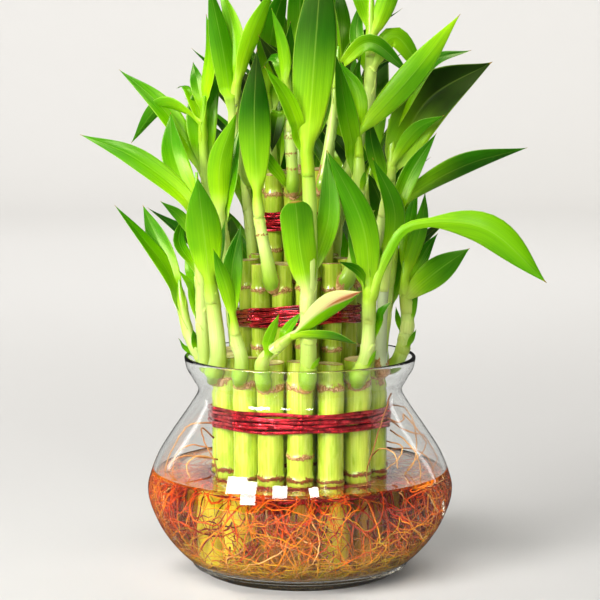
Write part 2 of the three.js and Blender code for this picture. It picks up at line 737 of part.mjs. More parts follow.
function addBackLeaves(stalk) {
  const count = BACK_LEAVES[stalk.tier.name];
  for (let i = 0; i < count; i += 1) {
    const share = 0.42 + (0.5 * i) / (count - 1);
    const height = stalk.node + stalk.rise * share;
    const base = placeAtHeight(stalk.path, height, (spot) => spot.z);
    const azimuth = stalk.bulb + LEAF_TURN * i + 30 * (draw() - 0.5);
    const tilt = 46 + 6 * i + 14 * (draw() - 0.5);
    const length = drawBetween(BACK_LEAF_LENGTH);
    const width = drawBetween(BACK_LEAF_WIDTH);
    const arch = 6 + 12 * draw();
    const roll = 50 * (draw() - 0.5);
    const tries = BACK_TILTS.flatMap((more) => BACK_TURNS.map((turn) => [turn, more]));
    for (const [turn, more] of tries) {
      const leaf = backLeaf(base, azimuth + turn, tilt + more, length, width, arch, roll);
      if (liesClear(stalk.name, leaf)) {
        place(stalk.name, leaf);
        stalk.pieces.push(leaf);
        break;
      }
    }
  }
}

// Stalks by name, each with its cane
const stalks = new Map();
const caneHoles = [];
for (const tier of [OUTER, MIDDLE, INNER]) {
  tier.angles.forEach((angle, index) => {
    const levels = caneLevels(tier, index);
    const name = `${tier.name}_stalk_${String(index + 1).padStart(2, '0')}`;
    const cane = makeCane(tier, angle, levels.top, levels.nodes);
    caneHoles.push(makeCane(tier, angle, levels.top, [], GAP / Math.cos(Math.PI / CANE_SIDES)));
    stalks.set(name, { name, tier, angle, node: levels.node, pieces: [cane] });
    place(name, cane);
  });
}

const bowl = makeBowl();
const roots = makeRoots();
const water = makeWater(caneHoles);
place('bowl', bowl);
const ties = TIES.map((tie) => ({ name: tie.name, solid: makeTie(tie) }));
for (const tie of ties) {
  place(tie.name, tie.solid);
}

// Stems first, then the leaves, each laid clear of what is already there
for (const shoot of FRONT_SHOOTS) {
  makeFrontShoot(stalks.get(shoot.stalk), shoot);
}
for (const name of BACK_STALKS) {
  makeBackShoot(stalks.get(name));
}
for (const shoot of FRONT_SHOOTS) {
  addFrontLeaves(stalks.get(shoot.stalk), shoot);
}
for (const name of BACK_STALKS) {
  addBackLeaves(stalks.get(name));
}

const plant = new THREE.Group();

function addMesh(name, solid, look) {
  const { vertProperties, triVerts } = largestBody(solid).getMesh();
  const geometry = new THREE.BufferGeometry();
  geometry.setAttribute('position', new THREE.BufferAttribute(new Float32Array(vertProperties), 3));
  geometry.setIndex(new THREE.BufferAttribute(new Uint32Array(triVerts), 1));
  geometry.computeVertexNormals();
  const mesh = new THREE.Mesh(geometry, new THREE.MeshStandardMaterial(look));
  mesh.name = name;
  plant.add(mesh);
}

const glassLook = { color: COLOURS.glass, roughness: 0.03, metalness: 0, transparent: true, opacity: 0.3 };
const waterLook = { color: COLOURS.water, roughness: 0.02, metalness: 0, transparent: true, opacity: 0.35 };
addMesh('bowl', bowl, glassLook);
addMesh('water', water, waterLook);
addMesh('roots', roots.asOriginal().simplify(FINEST), { color: COLOURS.roots, roughness: 0.6, metalness: 0 });
for (const tie of ties) {
  addMesh(tie.name, tie.solid, { color: COLOURS.wire, roughness: 0.25, metalness: 0.9 });
}
for (const stalk of stalks.values()) {
  const whole = wasm.Manifold.union(stalk.pieces).asOriginal().simplify(FINEST);
  addMesh(stalk.name, whole, { color: COLOURS.cane, roughness: 0.42, metalness: 0 });
}

export default plant;
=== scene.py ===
# %% [markdown]
# Lucky bamboo in a glass bowl
#
# Three rings of cut canes stand in water, each ring taller than the one round it. Red wire ties hold
# them, and each cane has grown a leafy shoot from its top node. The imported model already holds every
# piece as a plain solid at its real size. This lesson dresses it: each step says what the real thing
# is, how it could be made in Blender, and why it is made the way it is here.

import math

import bmesh
import bpy
import numpy as np
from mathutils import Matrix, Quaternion, Vector
from mathutils.bvhtree import BVHTree


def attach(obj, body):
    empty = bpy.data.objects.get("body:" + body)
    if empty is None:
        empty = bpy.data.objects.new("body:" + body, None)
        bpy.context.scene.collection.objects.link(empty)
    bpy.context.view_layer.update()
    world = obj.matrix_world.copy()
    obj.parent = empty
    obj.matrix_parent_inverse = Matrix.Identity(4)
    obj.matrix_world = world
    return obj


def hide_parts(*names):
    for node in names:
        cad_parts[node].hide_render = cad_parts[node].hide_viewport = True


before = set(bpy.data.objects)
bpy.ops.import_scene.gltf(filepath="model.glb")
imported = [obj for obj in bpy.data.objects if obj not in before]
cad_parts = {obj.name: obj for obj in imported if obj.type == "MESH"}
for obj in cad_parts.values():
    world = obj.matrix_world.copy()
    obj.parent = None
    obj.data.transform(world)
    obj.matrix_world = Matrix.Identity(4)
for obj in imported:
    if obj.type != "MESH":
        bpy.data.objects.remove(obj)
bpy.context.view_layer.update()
scene = bpy.context.scene

# %% [markdown]
# Places and directions
#
# All sizes below are millimetres, as they would be measured on the plant, and one value turns them
# into Blender's metres. The plant was read in a front view, so a place is often given by what the
# viewer sees at the bowl's middle plane, and a depth. Angles go round from the front towards +X.

# %% Units and places
MM = 0.001
EYE_DISTANCE = 1200.0
EYE_HEIGHT = 294.0


def heading(angle):
    """The level direction at an angle in degrees from the front."""
    turn = math.radians(angle)
    return np.array([math.sin(turn), -math.cos(turn), 0.0])


def seen_at(x, z, y):
    """The place at depth y that the viewer sees at x and z on the middle plane."""
    scale = 1 + y / EYE_DISTANCE
    return np.array([x * scale, y, EYE_HEIGHT + (z - EYE_HEIGHT) * scale])


def seen_height(place):
    return EYE_HEIGHT + (place[2] - EYE_HEIGHT) / (1 + place[1] / EYE_DISTANCE)


def unit(vector):
    return vector / np.linalg.norm(vector)


def smooth_step(value):
    value = np.clip(value, 0, 1)
    return value * value * (3 - 2 * value)


print("the front of the plant faces", heading(0).round(3))

# %% [markdown]
# The camera
#
# A long lens from a little above looks slightly down into the bowl. A portrait lens at 1.2 m keeps
# the canes upright and nearly parallel, as a product photograph does, and a wide lens close by would
# splay them. The tilt is set on the camera and not with a shift, so that other views can reuse it.

# %% Camera
LENS = 136.9
CAMERA_TILT = 7.02

camera_data = bpy.data.cameras.new("camera")
camera_data.lens = LENS
camera = bpy.data.objects.new("camera", camera_data)
camera.location = (0, -EYE_DISTANCE * MM, EYE_HEIGHT * MM)
camera.rotation_euler = (math.radians(90 - CAMERA_TILT), 0, 0)
scene.collection.objects.link(camera)
scene.camera = camera
scene.view_settings.view_transform = "Standard"
print("camera at", tuple(round(v, 3) for v in camera.location))

# %% [markdown]
# Smooth lines
#
# Stems, leaves, roots and wires all follow a line through a few places. Blender's own curves could
# do it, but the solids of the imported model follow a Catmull-Rom line, so the same line is written
# here in a few lines of numpy. Each fine piece then stays inside or on its solid.

# %% A smooth line through places
TABLE_STEPS = 40
HALVINGS = 30


class Line:
    """A smooth line through a list of places. Shares run from 0 at its start to 1 at its end."""

    def __init__(self, places):
        self.places = np.array(places, float)
        spots = self.places
        before = 2 * spots[0] - spots[1]
        after = 2 * spots[-1] - spots[-2]
        self.padded = np.vstack([before, spots, after])
        self.table = np.linspace(0, 1, TABLE_STEPS * len(spots))
        steps = np.linalg.norm(np.diff(self.at(self.table), axis=0), axis=1)
        self.gone = np.concatenate([[0], np.cumsum(steps)])
        self.length = float(self.gone[-1])

    def _spans(self, shares):
        spans = len(self.places) - 1
        along = np.clip(np.atleast_1d(shares), 0, 1) * spans
        first = np.minimum(along.astype(int), spans - 1)
        return first, (along - first)[:, None]

    def _terms(self, first):
        before, start, end, after = (self.padded[first + step] for step in range(4))
        leave = 0.5 * (end - before)
        arrive = 0.5 * (after - start)
        square = -3 * start + 3 * end - 2 * leave - arrive
        cube = 2 * start - 2 * end + leave + arrive
        return start, leave, square, cube

    def at(self, shares):
        first, part = self._spans(shares)
        start, leave, square, cube = self._terms(first)
        return start + part * (leave + part * (square + part * cube))

    def direction(self, shares):
        first, part = self._spans(shares)
        leave, square, cube = self._terms(first)[1:]
        slope = leave + part * (2 * square + 3 * part * cube)
        return slope / np.linalg.norm(slope, axis=1)[:, None]

    def share_of(self, gone):
        """The share at a distance along the line."""
        return np.interp(gone, self.gone, self.table)

    def gone_at(self, share):
        """The distance along the line at a share."""
        return np.interp(share, self.table, self.gone)

    def share_at(self, height, height_of):
        """The share at which the line reaches a height, found by halving."""
        low, high = 0.0, 1.0
        for step in range(HALVINGS):
            middle = 0.5 * (low + high)
            if height_of(self.at(middle)[0]) < height:
                low = middle
            else:
                high = middle
        return 0.5 * (low + high)


print("a straight line of 10 mm measures", round(Line([(0, 0, 0), (0, 0, 5), (0, 0, 10)]).length, 3))

# %% [markdown]
# Collecting corners and faces
#
# A piece could be modelled by hand, grown with modifiers or written as mesh code. Mesh code suits a
# plant: a leaf is rows of corners along a line, and a cane is rings of corners up its height. A Shell
# collects them with a few values for each corner, such as how far along the leaf it lies. The
# materials read those values, so colour follows growth and needs no painted image.

# %% Shells


class Shell:
    """Corners in millimetres, faces, and named values for each corner, of one piece."""

    def __init__(self, *names):
        self.corners = []
        self.faces = []
        self.values = {name: [] for name in names}
        self.count = 0

    def add(self, corners, faces, **values):
        corners = np.asarray(corners, float).reshape(-1, 3)
        self.corners.append(corners)
        self.faces.extend(tuple(int(i) + self.count for i in face) for face in faces)
        for name, kept in self.values.items():
            value = np.asarray(values[name], float)
            shape = (len(corners), 3) if name == "grain" else (len(corners),)
            kept.append(np.broadcast_to(value, shape).reshape(shape))
        self.count += len(corners)


def band(rows, sides):
    """Faces between rings of corners that each close on themselves."""
    ring = np.arange(sides)
    after = (ring + 1) % sides
    faces = []
    for row in range(rows - 1):
        first = row * sides
        faces += list(zip(first + ring, first + after, first + sides + after, first + sides + ring))
    return faces


def capped_band(rows, sides):
    """The same, with a face over the first ring and one over the last."""
    last = (rows - 1) * sides
    return band(rows, sides) + [tuple(range(sides)), tuple(range(last, last + sides))]


def make_piece(name, shell, material, replaced):
    """A Blender object from a shell, riding on the part and its solids."""
    mesh = bpy.data.meshes.new(name)
    corners = np.vstack(shell.corners) * MM
    mesh.from_pydata(corners.tolist(), [], shell.faces)
    work = bmesh.new()
    work.from_mesh(mesh)
    bmesh.ops.recalc_face_normals(work, faces=work.faces)
    work.to_mesh(mesh)
    work.free()
    mesh.polygons.foreach_set("use_smooth", [True] * len(mesh.polygons))
    for value, parts in shell.values.items():
        joined = np.concatenate(parts)
        vector = joined.ndim == 2
        layer = mesh.attributes.new(value, "FLOAT_VECTOR" if vector else "FLOAT", "POINT")
        layer.data.foreach_set("vector" if vector else "value", joined.astype(np.float32).ravel())
    mesh.materials.append(material)
    piece = bpy.data.objects.new(name, mesh)
    scene.collection.objects.link(piece)
    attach(piece, "root")
    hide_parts(*replaced)


print("a band of 3 rings of 4 corners has", len(band(3, 4)), "faces")

# %% [markdown]
# Tubes
#
# Stems, roots and wires are round, so they share one tube. A bevelled curve would be quicker to
# write, but its corners couldn't carry values for the material. Each ring is turned as little as
# possible from the one before it, which keeps the tube from twisting.

# %% A tube along a line
FIRST_SIDE = (1.0, 0.3, 0.0)


def crosswise(along):
    """Two directions across each step of a line, carried along it without twist."""
    side = np.array(FIRST_SIDE)
    sides = []
    for way in along:
        side = unit(side - way * side.dot(way))
        sides.append(side)
    sides = np.array(sides)
    return sides, np.cross(along, sides)


def tube(centres, along, radii, sides):
    """Corners and faces of a closed tube. radii has one value for each ring, or one for each corner."""
    first, second = crosswise(along)
    turn = np.arange(sides) * 2 * math.pi / sides
    ways = np.cos(turn)[None, :, None] * first[:, None] + np.sin(turn)[None, :, None] * second[:, None]
    reach = np.asarray(radii, float)
    reach = reach[:, None, None] if reach.ndim == 1 else reach[:, :, None]
    corners = centres[:, None] + reach * ways
    return corners.reshape(-1, 3), capped_band(len(centres), sides)


post_ends = np.array([(0, 0, 0), (0, 0, 10.0)])
post, post_faces = tube(post_ends, np.array([(0, 0, 1.0), (0, 0, 1.0)]), [1, 1], 8)
print("a short tube has", len(post), "corners and", len(post_faces), "faces")

# %% [markdown]
# Colours and a small kit for materials
#
# Colours are easiest to judge as the red, green and blue of a screen, and shaders want linear
# light, so one function converts. A Kit starts a material and joins its nodes in short calls, so that
# each material reads as a recipe. A Mix node's colour sockets share their names with its other
# sockets, so they are picked by number.

# %% Material kit
MIX_FACTOR = 0
MIX_COLOURS = (6, 7)
MIX_RESULT = 2


def screen(red, green, blue):
    """Linear colour from screen values of 0 to 255."""
    def linear(value):
        share = value / 255
        return share / 12.92 if share <= 0.04045 else ((share + 0.055) / 1.055) ** 2.4
    return (linear(red), linear(green), linear(blue), 1.0)


def fill_ramp(node, stops):
    """Sets a colour ramp from (share, colour) rows."""
    elements = node.color_ramp.elements
    while len(elements) < len(stops):
        elements.new(0.5)
    for element, (share, colour) in zip(elements, stops):
        element.position = share
        element.color = colour


class Kit:
    """A new material, with short calls that place and join its nodes."""

    def __init__(self, name):
        self.material = bpy.data.materials.new(name)
        self.material.use_nodes = True
        self.tree = self.material.node_tree
        self.shader = self.tree.nodes["Principled BSDF"]
        self.output = self.tree.nodes["Material Output"]

    def join(self, source, target):
        self.tree.links.new(source, target)

    def node(self, kind, inputs=None, **settings):
        """A new node with its settings, and with plain values on its inputs."""
        made = self.tree.nodes.new(kind)
        for key, value in settings.items():
            setattr(made, key, value)
        for key, value in (inputs or {}).items():
            made.inputs[key].default_value = value
        return made

    def value_of(self, name):
        """A corner value of the mesh, as a number."""
        return self.node("ShaderNodeAttribute", attribute_name=name).outputs["Fac"]

    def math(self, operation, first, second=None, clamp=False):
        made = self.node("ShaderNodeMath", operation=operation, use_clamp=clamp)
        for socket, source in zip(made.inputs, (first, second)):
            if source is None:
                continue
            if isinstance(source, (int, float)):
                socket.default_value = source
            else:
                self.join(source, socket)
        return made.outputs[0]

    def plus(self, first, second):
        return self.math("ADD", first, second)

    def minus(self, first, second):
        return self.math("SUBTRACT", first, second)

    def times(self, first, second):
        return self.math("MULTIPLY", first, second)

    def ramp(self, factor, stops):
        """A colour for each share, from (share, colour) rows."""
        made = self.node("ShaderNodeValToRGB")
        fill_ramp(made, stops)
        self.join(factor, made.inputs[0])
        return made.outputs[0]

    def mask(self, factor, low, high):
        """0 below low, 1 above high, smooth between them."""
        limits = {"From Min": low, "From Max": high}
        made = self.node("ShaderNodeMapRange", limits, interpolation_type="SMOOTHSTEP")
        self.join(factor, made.inputs["Value"])
        return made.outputs["Result"]

    def blend(self, factor, first, second, mode="MIX"):
        """One colour over another by a mask. A colour is a socket or a plain value."""
        made = self.node("ShaderNodeMix", data_type="RGBA", blend_type=mode)
        for number, source in zip((MIX_FACTOR, *MIX_COLOURS), (factor, first, second)):
            if isinstance(source, (int, float, tuple)):
                made.inputs[number].default_value = source
            else:
                self.join(source, made.inputs[number])
        return made.outputs[MIX_RESULT]

    def bump(self, height, strength, distance):
        made = self.node("ShaderNodeBump", {"Strength": strength, "Distance": distance * MM})
        self.join(height, made.inputs["Height"])
        self.join(made.outputs["Normal"], self.shader.inputs["Normal"])

    def flecks(self, scale, detail, roughness=0.5):
        """Noise that sits in the mesh's own grain."""
        values = {"Scale": scale, "Detail": detail, "Roughness": roughness}
        made = self.node("ShaderNodeTexNoise", values)
        grain = self.node("ShaderNodeAttribute", attribute_name="grain")
        self.join(grain.outputs["Vector"], made.inputs["Vector"])
        return made.outputs["Fac"]

    def paint(self, colour, rough):
        """Gives the shader its colour and its roughness."""
        self.join(colour, self.shader.inputs["Base Color"])
        self.join(rough, self.shader.inputs["Roughness"])

    def set(self, **values):
        for key, value in values.items():
            self.shader.inputs[key.replace("_", " ")].default_value = value


print("mid green in linear light:", [round(v, 3) for v in screen(90, 160, 40)])

# %% [markdown]
# Grown streaks, a shared effect
#
# Canes, stems, leaves and roots all have fine lengthwise fibres and broader, softer patches. Both
# come from noise that is stretched along the growth. It is built once as a node group with named
# inputs and outputs, and each material sets its own scale. Every mesh carries a "grain" value, which
# is a place in millimetres across and along the growth, so the streaks follow each bent leaf.

# %% Noise along the growth
PATCH_STRETCH = (1, 1, 0.3)


def noise_in_grain(group, grain, detail):
    """Noise over a stretched grain. Returns the node that stretches the grain, and the noise."""
    stretch = group.nodes.new("ShaderNodeVectorMath")
    stretch.operation = "MULTIPLY"
    noise = group.nodes.new("ShaderNodeTexNoise")
    noise.inputs["Detail"].default_value = detail
    group.links.new(grain.outputs["Vector"], stretch.inputs[0])
    group.links.new(stretch.outputs[0], noise.inputs["Vector"])
    return stretch, noise


print("patches are longer than wide by a factor of", round(1 / PATCH_STRETCH[2], 1))

# %% Group: grown streaks


def grown_streaks_group():
    group = bpy.data.node_groups.new("Grown streaks", "ShaderNodeTree")
    for name, start in (("Fibre scale", 2.0), ("Fibre stretch", 0.05), ("Patch scale", 0.15)):
        socket = group.interface.new_socket(name, in_out="INPUT", socket_type="NodeSocketFloat")
        socket.default_value = start
    for name in ("Fibre", "Patch"):
        group.interface.new_socket(name, in_out="OUTPUT", socket_type="NodeSocketFloat")
    nodes, links = group.nodes, group.links
    start, end = nodes.new("NodeGroupInput"), nodes.new("NodeGroupOutput")
    grain = nodes.new("ShaderNodeAttribute")
    grain.attribute_name = "grain"
    shrink = nodes.new("ShaderNodeCombineXYZ")
    shrink.inputs[0].default_value = 1
    shrink.inputs[1].default_value = 1
    fibre_stretch, fibre = noise_in_grain(group, grain, 3)
    patch_stretch, patch = noise_in_grain(group, grain, 2)
    patch_stretch.inputs[1].default_value = PATCH_STRETCH
    links.new(start.outputs["Fibre stretch"], shrink.inputs[2])
    links.new(shrink.outputs[0], fibre_stretch.inputs[1])
    for name, noise in (("Fibre", fibre), ("Patch", patch)):
        links.new(start.outputs[f"{name} scale"], noise.inputs["Scale"])
        links.new(noise.outputs["Fac"], end.inputs[name])
    return group


GROWN_STREAKS = grown_streaks_group()


def add_streaks(kit, fibre_scale, fibre_stretch, patch_scale):
    """The streak group in a material, with its own values. Returns the fibre and patch outputs."""
    values = {"Fibre scale": fibre_scale, "Fibre stretch": fibre_stretch, "Patch scale": patch_scale}
    made = kit.node("ShaderNodeGroup", values, node_tree=GROWN_STREAKS)
    return made.outputs["Fibre"], made.outputs["Patch"]


print("outputs:", [item.name for item in GROWN_STREAKS.interface.items_tree if item.in_out == "OUTPUT"])

# %% [markdown]
# Floor and backdrop
#
# A plain pale floor that curves up all round like a shallow dish has no horizon line from any side.
# A flat plane would be simpler, but its far edge shows behind the plant. A photographer sets black
# cards out of sight, so that glass and leaves mirror those and not the pale floor, which would lay a
# grey film over them. Hiding the floor from mirror rays does the same.

# %% Stage
FLOOR_RADIUS = 2300
SWEEP_RADIUS = 900
WALL_HEIGHT = 2600
STAGE_SIDES = 64

sweep = [(FLOOR_RADIUS + SWEEP_RADIUS * math.sin(a), SWEEP_RADIUS * (1 - math.cos(a)))
         for a in np.linspace(0, math.pi / 2, 12)]
stage_profile = [(60, 0), (600, 0), (1400, 0), *sweep, (FLOOR_RADIUS + SWEEP_RADIUS, WALL_HEIGHT)]
stage_turn = np.arange(STAGE_SIDES) * 2 * math.pi / STAGE_SIDES
stage_corners = [(r * math.cos(t), r * math.sin(t), z) for r, z in stage_profile for t in stage_turn]
stage_faces = band(len(stage_profile), STAGE_SIDES) + [tuple(reversed(range(STAGE_SIDES)))]
stage_mesh = bpy.data.meshes.new("floor")
stage_mesh.from_pydata((np.array(stage_corners) * MM).tolist(), [], stage_faces)
stage_mesh.polygons.foreach_set("use_smooth", [True] * len(stage_mesh.polygons))
floor = bpy.data.objects.new("floor", stage_mesh)
scene.collection.objects.link(floor)

floor_kit = Kit("pale floor")
floor_noise = floor_kit.node("ShaderNodeTexNoise", {"Scale": 4})
floor_pale = floor_kit.ramp(floor_noise.outputs["Fac"], [(0.3, screen(206, 204, 200)),
                                                        (0.7, screen(210, 208, 205))])
floor_kit.join(floor_pale, floor_kit.shader.inputs["Base Color"])
floor_kit.set(Roughness=0.7)
stage_mesh.materials.append(floor_kit.material)
floor.visible_glossy = False
print("floor", round(FLOOR_RADIUS * 2 * MM, 1), "m across before it curves up")

# %% [markdown]
# Studio light
#
# Glass and glossy leaves are drawn by what they reflect, so the lamps have shapes: four square panes
# side by side at the front, a tall strip behind each shoulder for the edges of the glass, and two soft
# lamps so high that the bowl can't mirror them to the front. Two wide lamps that shine on the backdrop
# keep it pale and even. They are hidden from the glass, where they would show as stray glints at the
# back. A dim world fills the shade.

# %% Lamps
PLANT_MIDDLE = (0, 0, 150)


def around(azimuth, elevation, distance):
    """A place at an angle from the front and a height angle, as seen from the plant's middle."""
    rise = math.radians(elevation)
    way = heading(azimuth) * math.cos(rise) + np.array([0, 0, math.sin(rise)])
    return np.array(PLANT_MIDDLE) + distance * way


def lamp(name, place, aim, width, height, power, roll=0, mirrored=True):
    """A soft rectangular lamp, turned by a roll in degrees about its own beam."""
    data = bpy.data.lights.new(name, "AREA")
    data.shape = "RECTANGLE"
    data.size = width * MM
    data.size_y = height * MM
    data.energy = power
    made = bpy.data.objects.new(name, data)
    made.location = Vector(np.array(place) * MM)
    made.visible_camera = False
    made.visible_glossy = mirrored
    made.visible_transmission = mirrored
    turned = Vector((np.array(aim) - place) * MM).to_track_quat("-Z", "Y")
    made.rotation_euler = (turned @ Quaternion((0, 0, 1), math.radians(roll))).to_euler()
    scene.collection.objects.link(made)


PANE_DISTANCE = 1250
PANE_POWER = 72
PANES = [
    (-53, 25, 330, 330, 14), (-41, 22, 250, 380, 10), (-16, 25, 230, 220, 6), (11, 25, 150, 180, 4),
]
for number, (azimuth, elevation, width, height, roll) in enumerate(PANES):
    place = around(azimuth, elevation, PANE_DISTANCE)
    power = PANE_POWER * width * height * MM * MM
    lamp(f"pane_{number + 1}", place, PLANT_MIDDLE, width, height, power, roll)
lamp("left_strip", around(-128, 22, 1500), PLANT_MIDDLE, 130, 900, 0.9)
lamp("right_strip", around(124, 16, 1500), PLANT_MIDDLE, 70, 800, 0.5)
lamp("high_key", around(-38, 71, 1400), PLANT_MIDDLE, 460, 360, 6.5)
lamp("overhead", around(0, 80, 1500), PLANT_MIDDLE, 1000, 400, 5)
lamp("backdrop_near", (0, 740, 1760), (0, 3200, 380), 2800, 300, 38, mirrored=False)
lamp("backdrop_far", (0, 1500, 2210), (0, 3200, 580), 2800, 300, 38, mirrored=False)

world = bpy.data.worlds.new("world")
world.use_nodes = True
shade = world.node_tree.nodes["Background"].inputs
shade["Color"].default_value = (1.0, 0.98, 0.95, 1)
shade["Strength"].default_value = 0.06
scene.world = world
scene.cycles.max_bounces = 24
scene.cycles.transmission_bounces = 20
scene.cycles.glossy_bounces = 12

# %% [markdown]
# Clear glass
#
# Real glass bends light and lets lamps shine through. A path tracer bends the light well but finds
# almost no light behind glass by itself, so the material lets rays that look for lamps go straight
# through. The rest is one Principled shader with full transmission. Faint waves in the surface, as
# blown glass has, come from a soft bump.

# %% Glass and water materials


def clear_material(name, colour, ior, wave_scale, wave_depth):
    kit = Kit(name)
    noise = kit.node("ShaderNodeTexNoise", {"Scale": wave_scale, "Detail": 1})
    coordinates = kit.node("ShaderNodeTexCoord")
    kit.join(coordinates.outputs["Object"], noise.inputs["Vector"])
    kit.bump(noise.outputs["Fac"], 0.3, wave_depth)
    kit.set(Base_Color=colour, Roughness=0.0, IOR=ior, Transmission_Weight=1.0)
    path = kit.node("ShaderNodeLightPath")
    through = kit.node("ShaderNodeBsdfTransparent")
    mix = kit.node("ShaderNodeMixShader")
    kit.join(path.outputs["Is Shadow Ray"], mix.inputs[0])
    kit.join(kit.shader.outputs[0], mix.inputs[1])
    kit.join(through.outputs[0], mix.inputs[2])
    kit.join(mix.outputs[0], kit.output.inputs["Surface"])
    return kit.material


GLASS = clear_material("clear glass", (0.97, 0.99, 0.985, 1), 1.47, 14, 0.15)
WATER = clear_material("clear water", (1.0, 0.93, 0.76, 1), 1.333, 40, 0.05)
print("glass and water made")

# %% [markdown]
# The bowl
#
# A blown bowl is round, so its wall is one profile turned about the upright axis. The profile is the
# packed bowl's own list of radius and height, drawn as a smooth line, and the inner face is the same
# line moved in by the thickness of the glass. The foot is thick, hollowed under its middle, and has
# a fine bead round it that catches the light. The rim is a rounded bead too.

# %% Bowl
GLASS_WALL = 2.2
GLASS_FLOOR = 7
BOWL_SIDES = 128
BOWL_OUTSIDE = [
    (51.5, 2), (64.5, 13.2), (73.5, 24.5), (79.4, 37), (81.2, 46), (79.8, 53.5), (75.2, 65),
    (67, 78), (58.4, 90.5), (54.2, 98.5), (57, 105), (60.2, 110.5), (61.4, 115.6),
]
FOOT = [
    (8, 2.6), (29, 2.4), (33, 1.8), (35.5, 0.8), (38, 0.3), (42, 0.15), (45.2, 0.0), (46.4, 0.1),
    (48.6, 0.7),
]
FOOT_BEAD = [
    (54.9, 4.85), (56.2, 5.0), (57.2, 5.4), (57.6, 5.95), (57.5, 6.5), (57.35, 6.85), (57.6, 7.15),
]
RIM_BEAD = [(61.35, 116.4), (60.9, 117.0), (60.3, 117.2), (59.7, 117.0), (59.3, 116.4)]


def fine_profile(rows, steps=6):
    """A smooth profile through radius and height rows."""
    line = Line([(radius, 0, height) for radius, height in rows])
    spots = line.at(np.linspace(0, 1, steps * (len(rows) - 1) + 1))
    return spots[:, [0, 2]]


def moved_in(profile, distance):
    """A profile moved square to itself, towards the axis."""
    slope = np.gradient(profile, axis=0)
    slope /= np.linalg.norm(slope, axis=1)[:, None]
    return profile + distance * np.column_stack([-slope[:, 1], slope[:, 0]])


def turned_corners(profile, sides):
    turn = np.arange(sides) * 2 * math.pi / sides
    ways = np.column_stack([np.cos(turn), np.sin(turn), np.zeros(sides)])
    rise = np.array([0, 0, 1.0])
    return profile[:, 0][:, None, None] * ways[None] + profile[:, 1][:, None, None] * rise


def turned_shell(profile, sides):
    """A closed turned shell. Its profile starts and ends close to the axis."""
    corners = turned_corners(np.asarray(profile, float), sides)
    shell = Shell()
    shell.add(corners, capped_band(len(corners), sides))
    return shell


outside = fine_profile(BOWL_OUTSIDE)
inside = moved_in(outside, GLASS_WALL)
below_bead = [row for row in outside if row[1] < FOOT_BEAD[0][1]]
above_bead = [row for row in outside if row[1] > FOOT_BEAD[-1][1]]
hollow = [row for row in inside[::-1] if row[1] > GLASS_FLOOR + 2.4]
bowl_floor = [(hollow[-1][0] - 2.2, GLASS_FLOOR + 0.9), (hollow[-1][0] - 6, GLASS_FLOOR + 0.2),
              (30, GLASS_FLOOR), (8, GLASS_FLOOR)]
bowl_profile = [*FOOT, *below_bead, *FOOT_BEAD, *above_bead, *RIM_BEAD, *hollow, *bowl_floor]
make_piece("bowl_glass", turned_shell(bowl_profile, BOWL_SIDES), GLASS, ["bowl"])
bowl_width = 2 * max(row[0] for row in bowl_profile)
print("bowl", round(bowl_width, 1), "mm across,", len(bowl_profile), "rings")

# %% [markdown]
# The canes' places
#
# Each ring of canes is a tier with its own radius, height and cane thickness. The cuts are ragged
# by a fixed rule, so no two neighbours end level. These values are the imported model's own, and every
# fine cane stands exactly where its solid does.

# %% Tiers
CANE_FOOT = 11
SIDES_OF_SOLID = 8


class Tier:
    """One ring of canes."""

    def __init__(self, name, x, ring, radius, top, node, lower_nodes, angles):
        self.name = name
        self.x = x
        self.ring = ring
        self.radius = radius
        self.top = top
        self.node = node
        self.lower_nodes = lower_nodes
        self.angles = angles

    def middle(self, angle):
        return heading(angle) * self.ring + np.array([self.x, 0, 0])

    def levels(self, index):
        """The height of a cane's cut top and of its top node."""
        ragged = ((index * 7) % 5) - 2
        return self.top + 0.5 * ragged, self.node + 0.4 * ragged


OUTER = Tier("outer", 0, 40, 7.2, 119, 106.7, {4: 69.7, 12: 71},
             [-91, -68, -43.6, -22, 0, 23, 48, 75,
              96.6, 118.1, 139.7, 161.2, 182.8, 204.3, 225.9, 247.4])
MIDDLE = Tier("middle", -1.3, 26.4, 5.6, 168.5, 155, {0: 124, 2: 125.5, 3: 123, 8: 124},
              [-45.6, -17.6, 9.6, 42.5, 85, 113.7, 142.3, 171, 199.7, 228.4, 257, 285.7])
INNER = Tier("inner", -1.9, 15.2, 4.8, 214.8, 204, {0: 174}, [-52, -7, 38, 83, 128, 173, 218, 263])


class Stalk:
    """One cane with what grew on it."""

    def __init__(self, tier, index):
        self.tier = tier
        self.index = index
        self.angle = tier.angles[index]
        self.top, self.node = tier.levels(index)
        self.name = f"{tier.name}_stalk_{index + 1:02d}"
        self.middle = tier.middle(self.angle)
        self.bulb = None
        self.rise = None
        self.stem = None
        self.stem_radii = None
        self.crossed = None


STALKS = {}
for tier in (OUTER, MIDDLE, INNER):
    for index in range(len(tier.angles)):
        stalk = Stalk(tier, index)
        STALKS[stalk.name] = stalk
print("stalks:", len(STALKS))
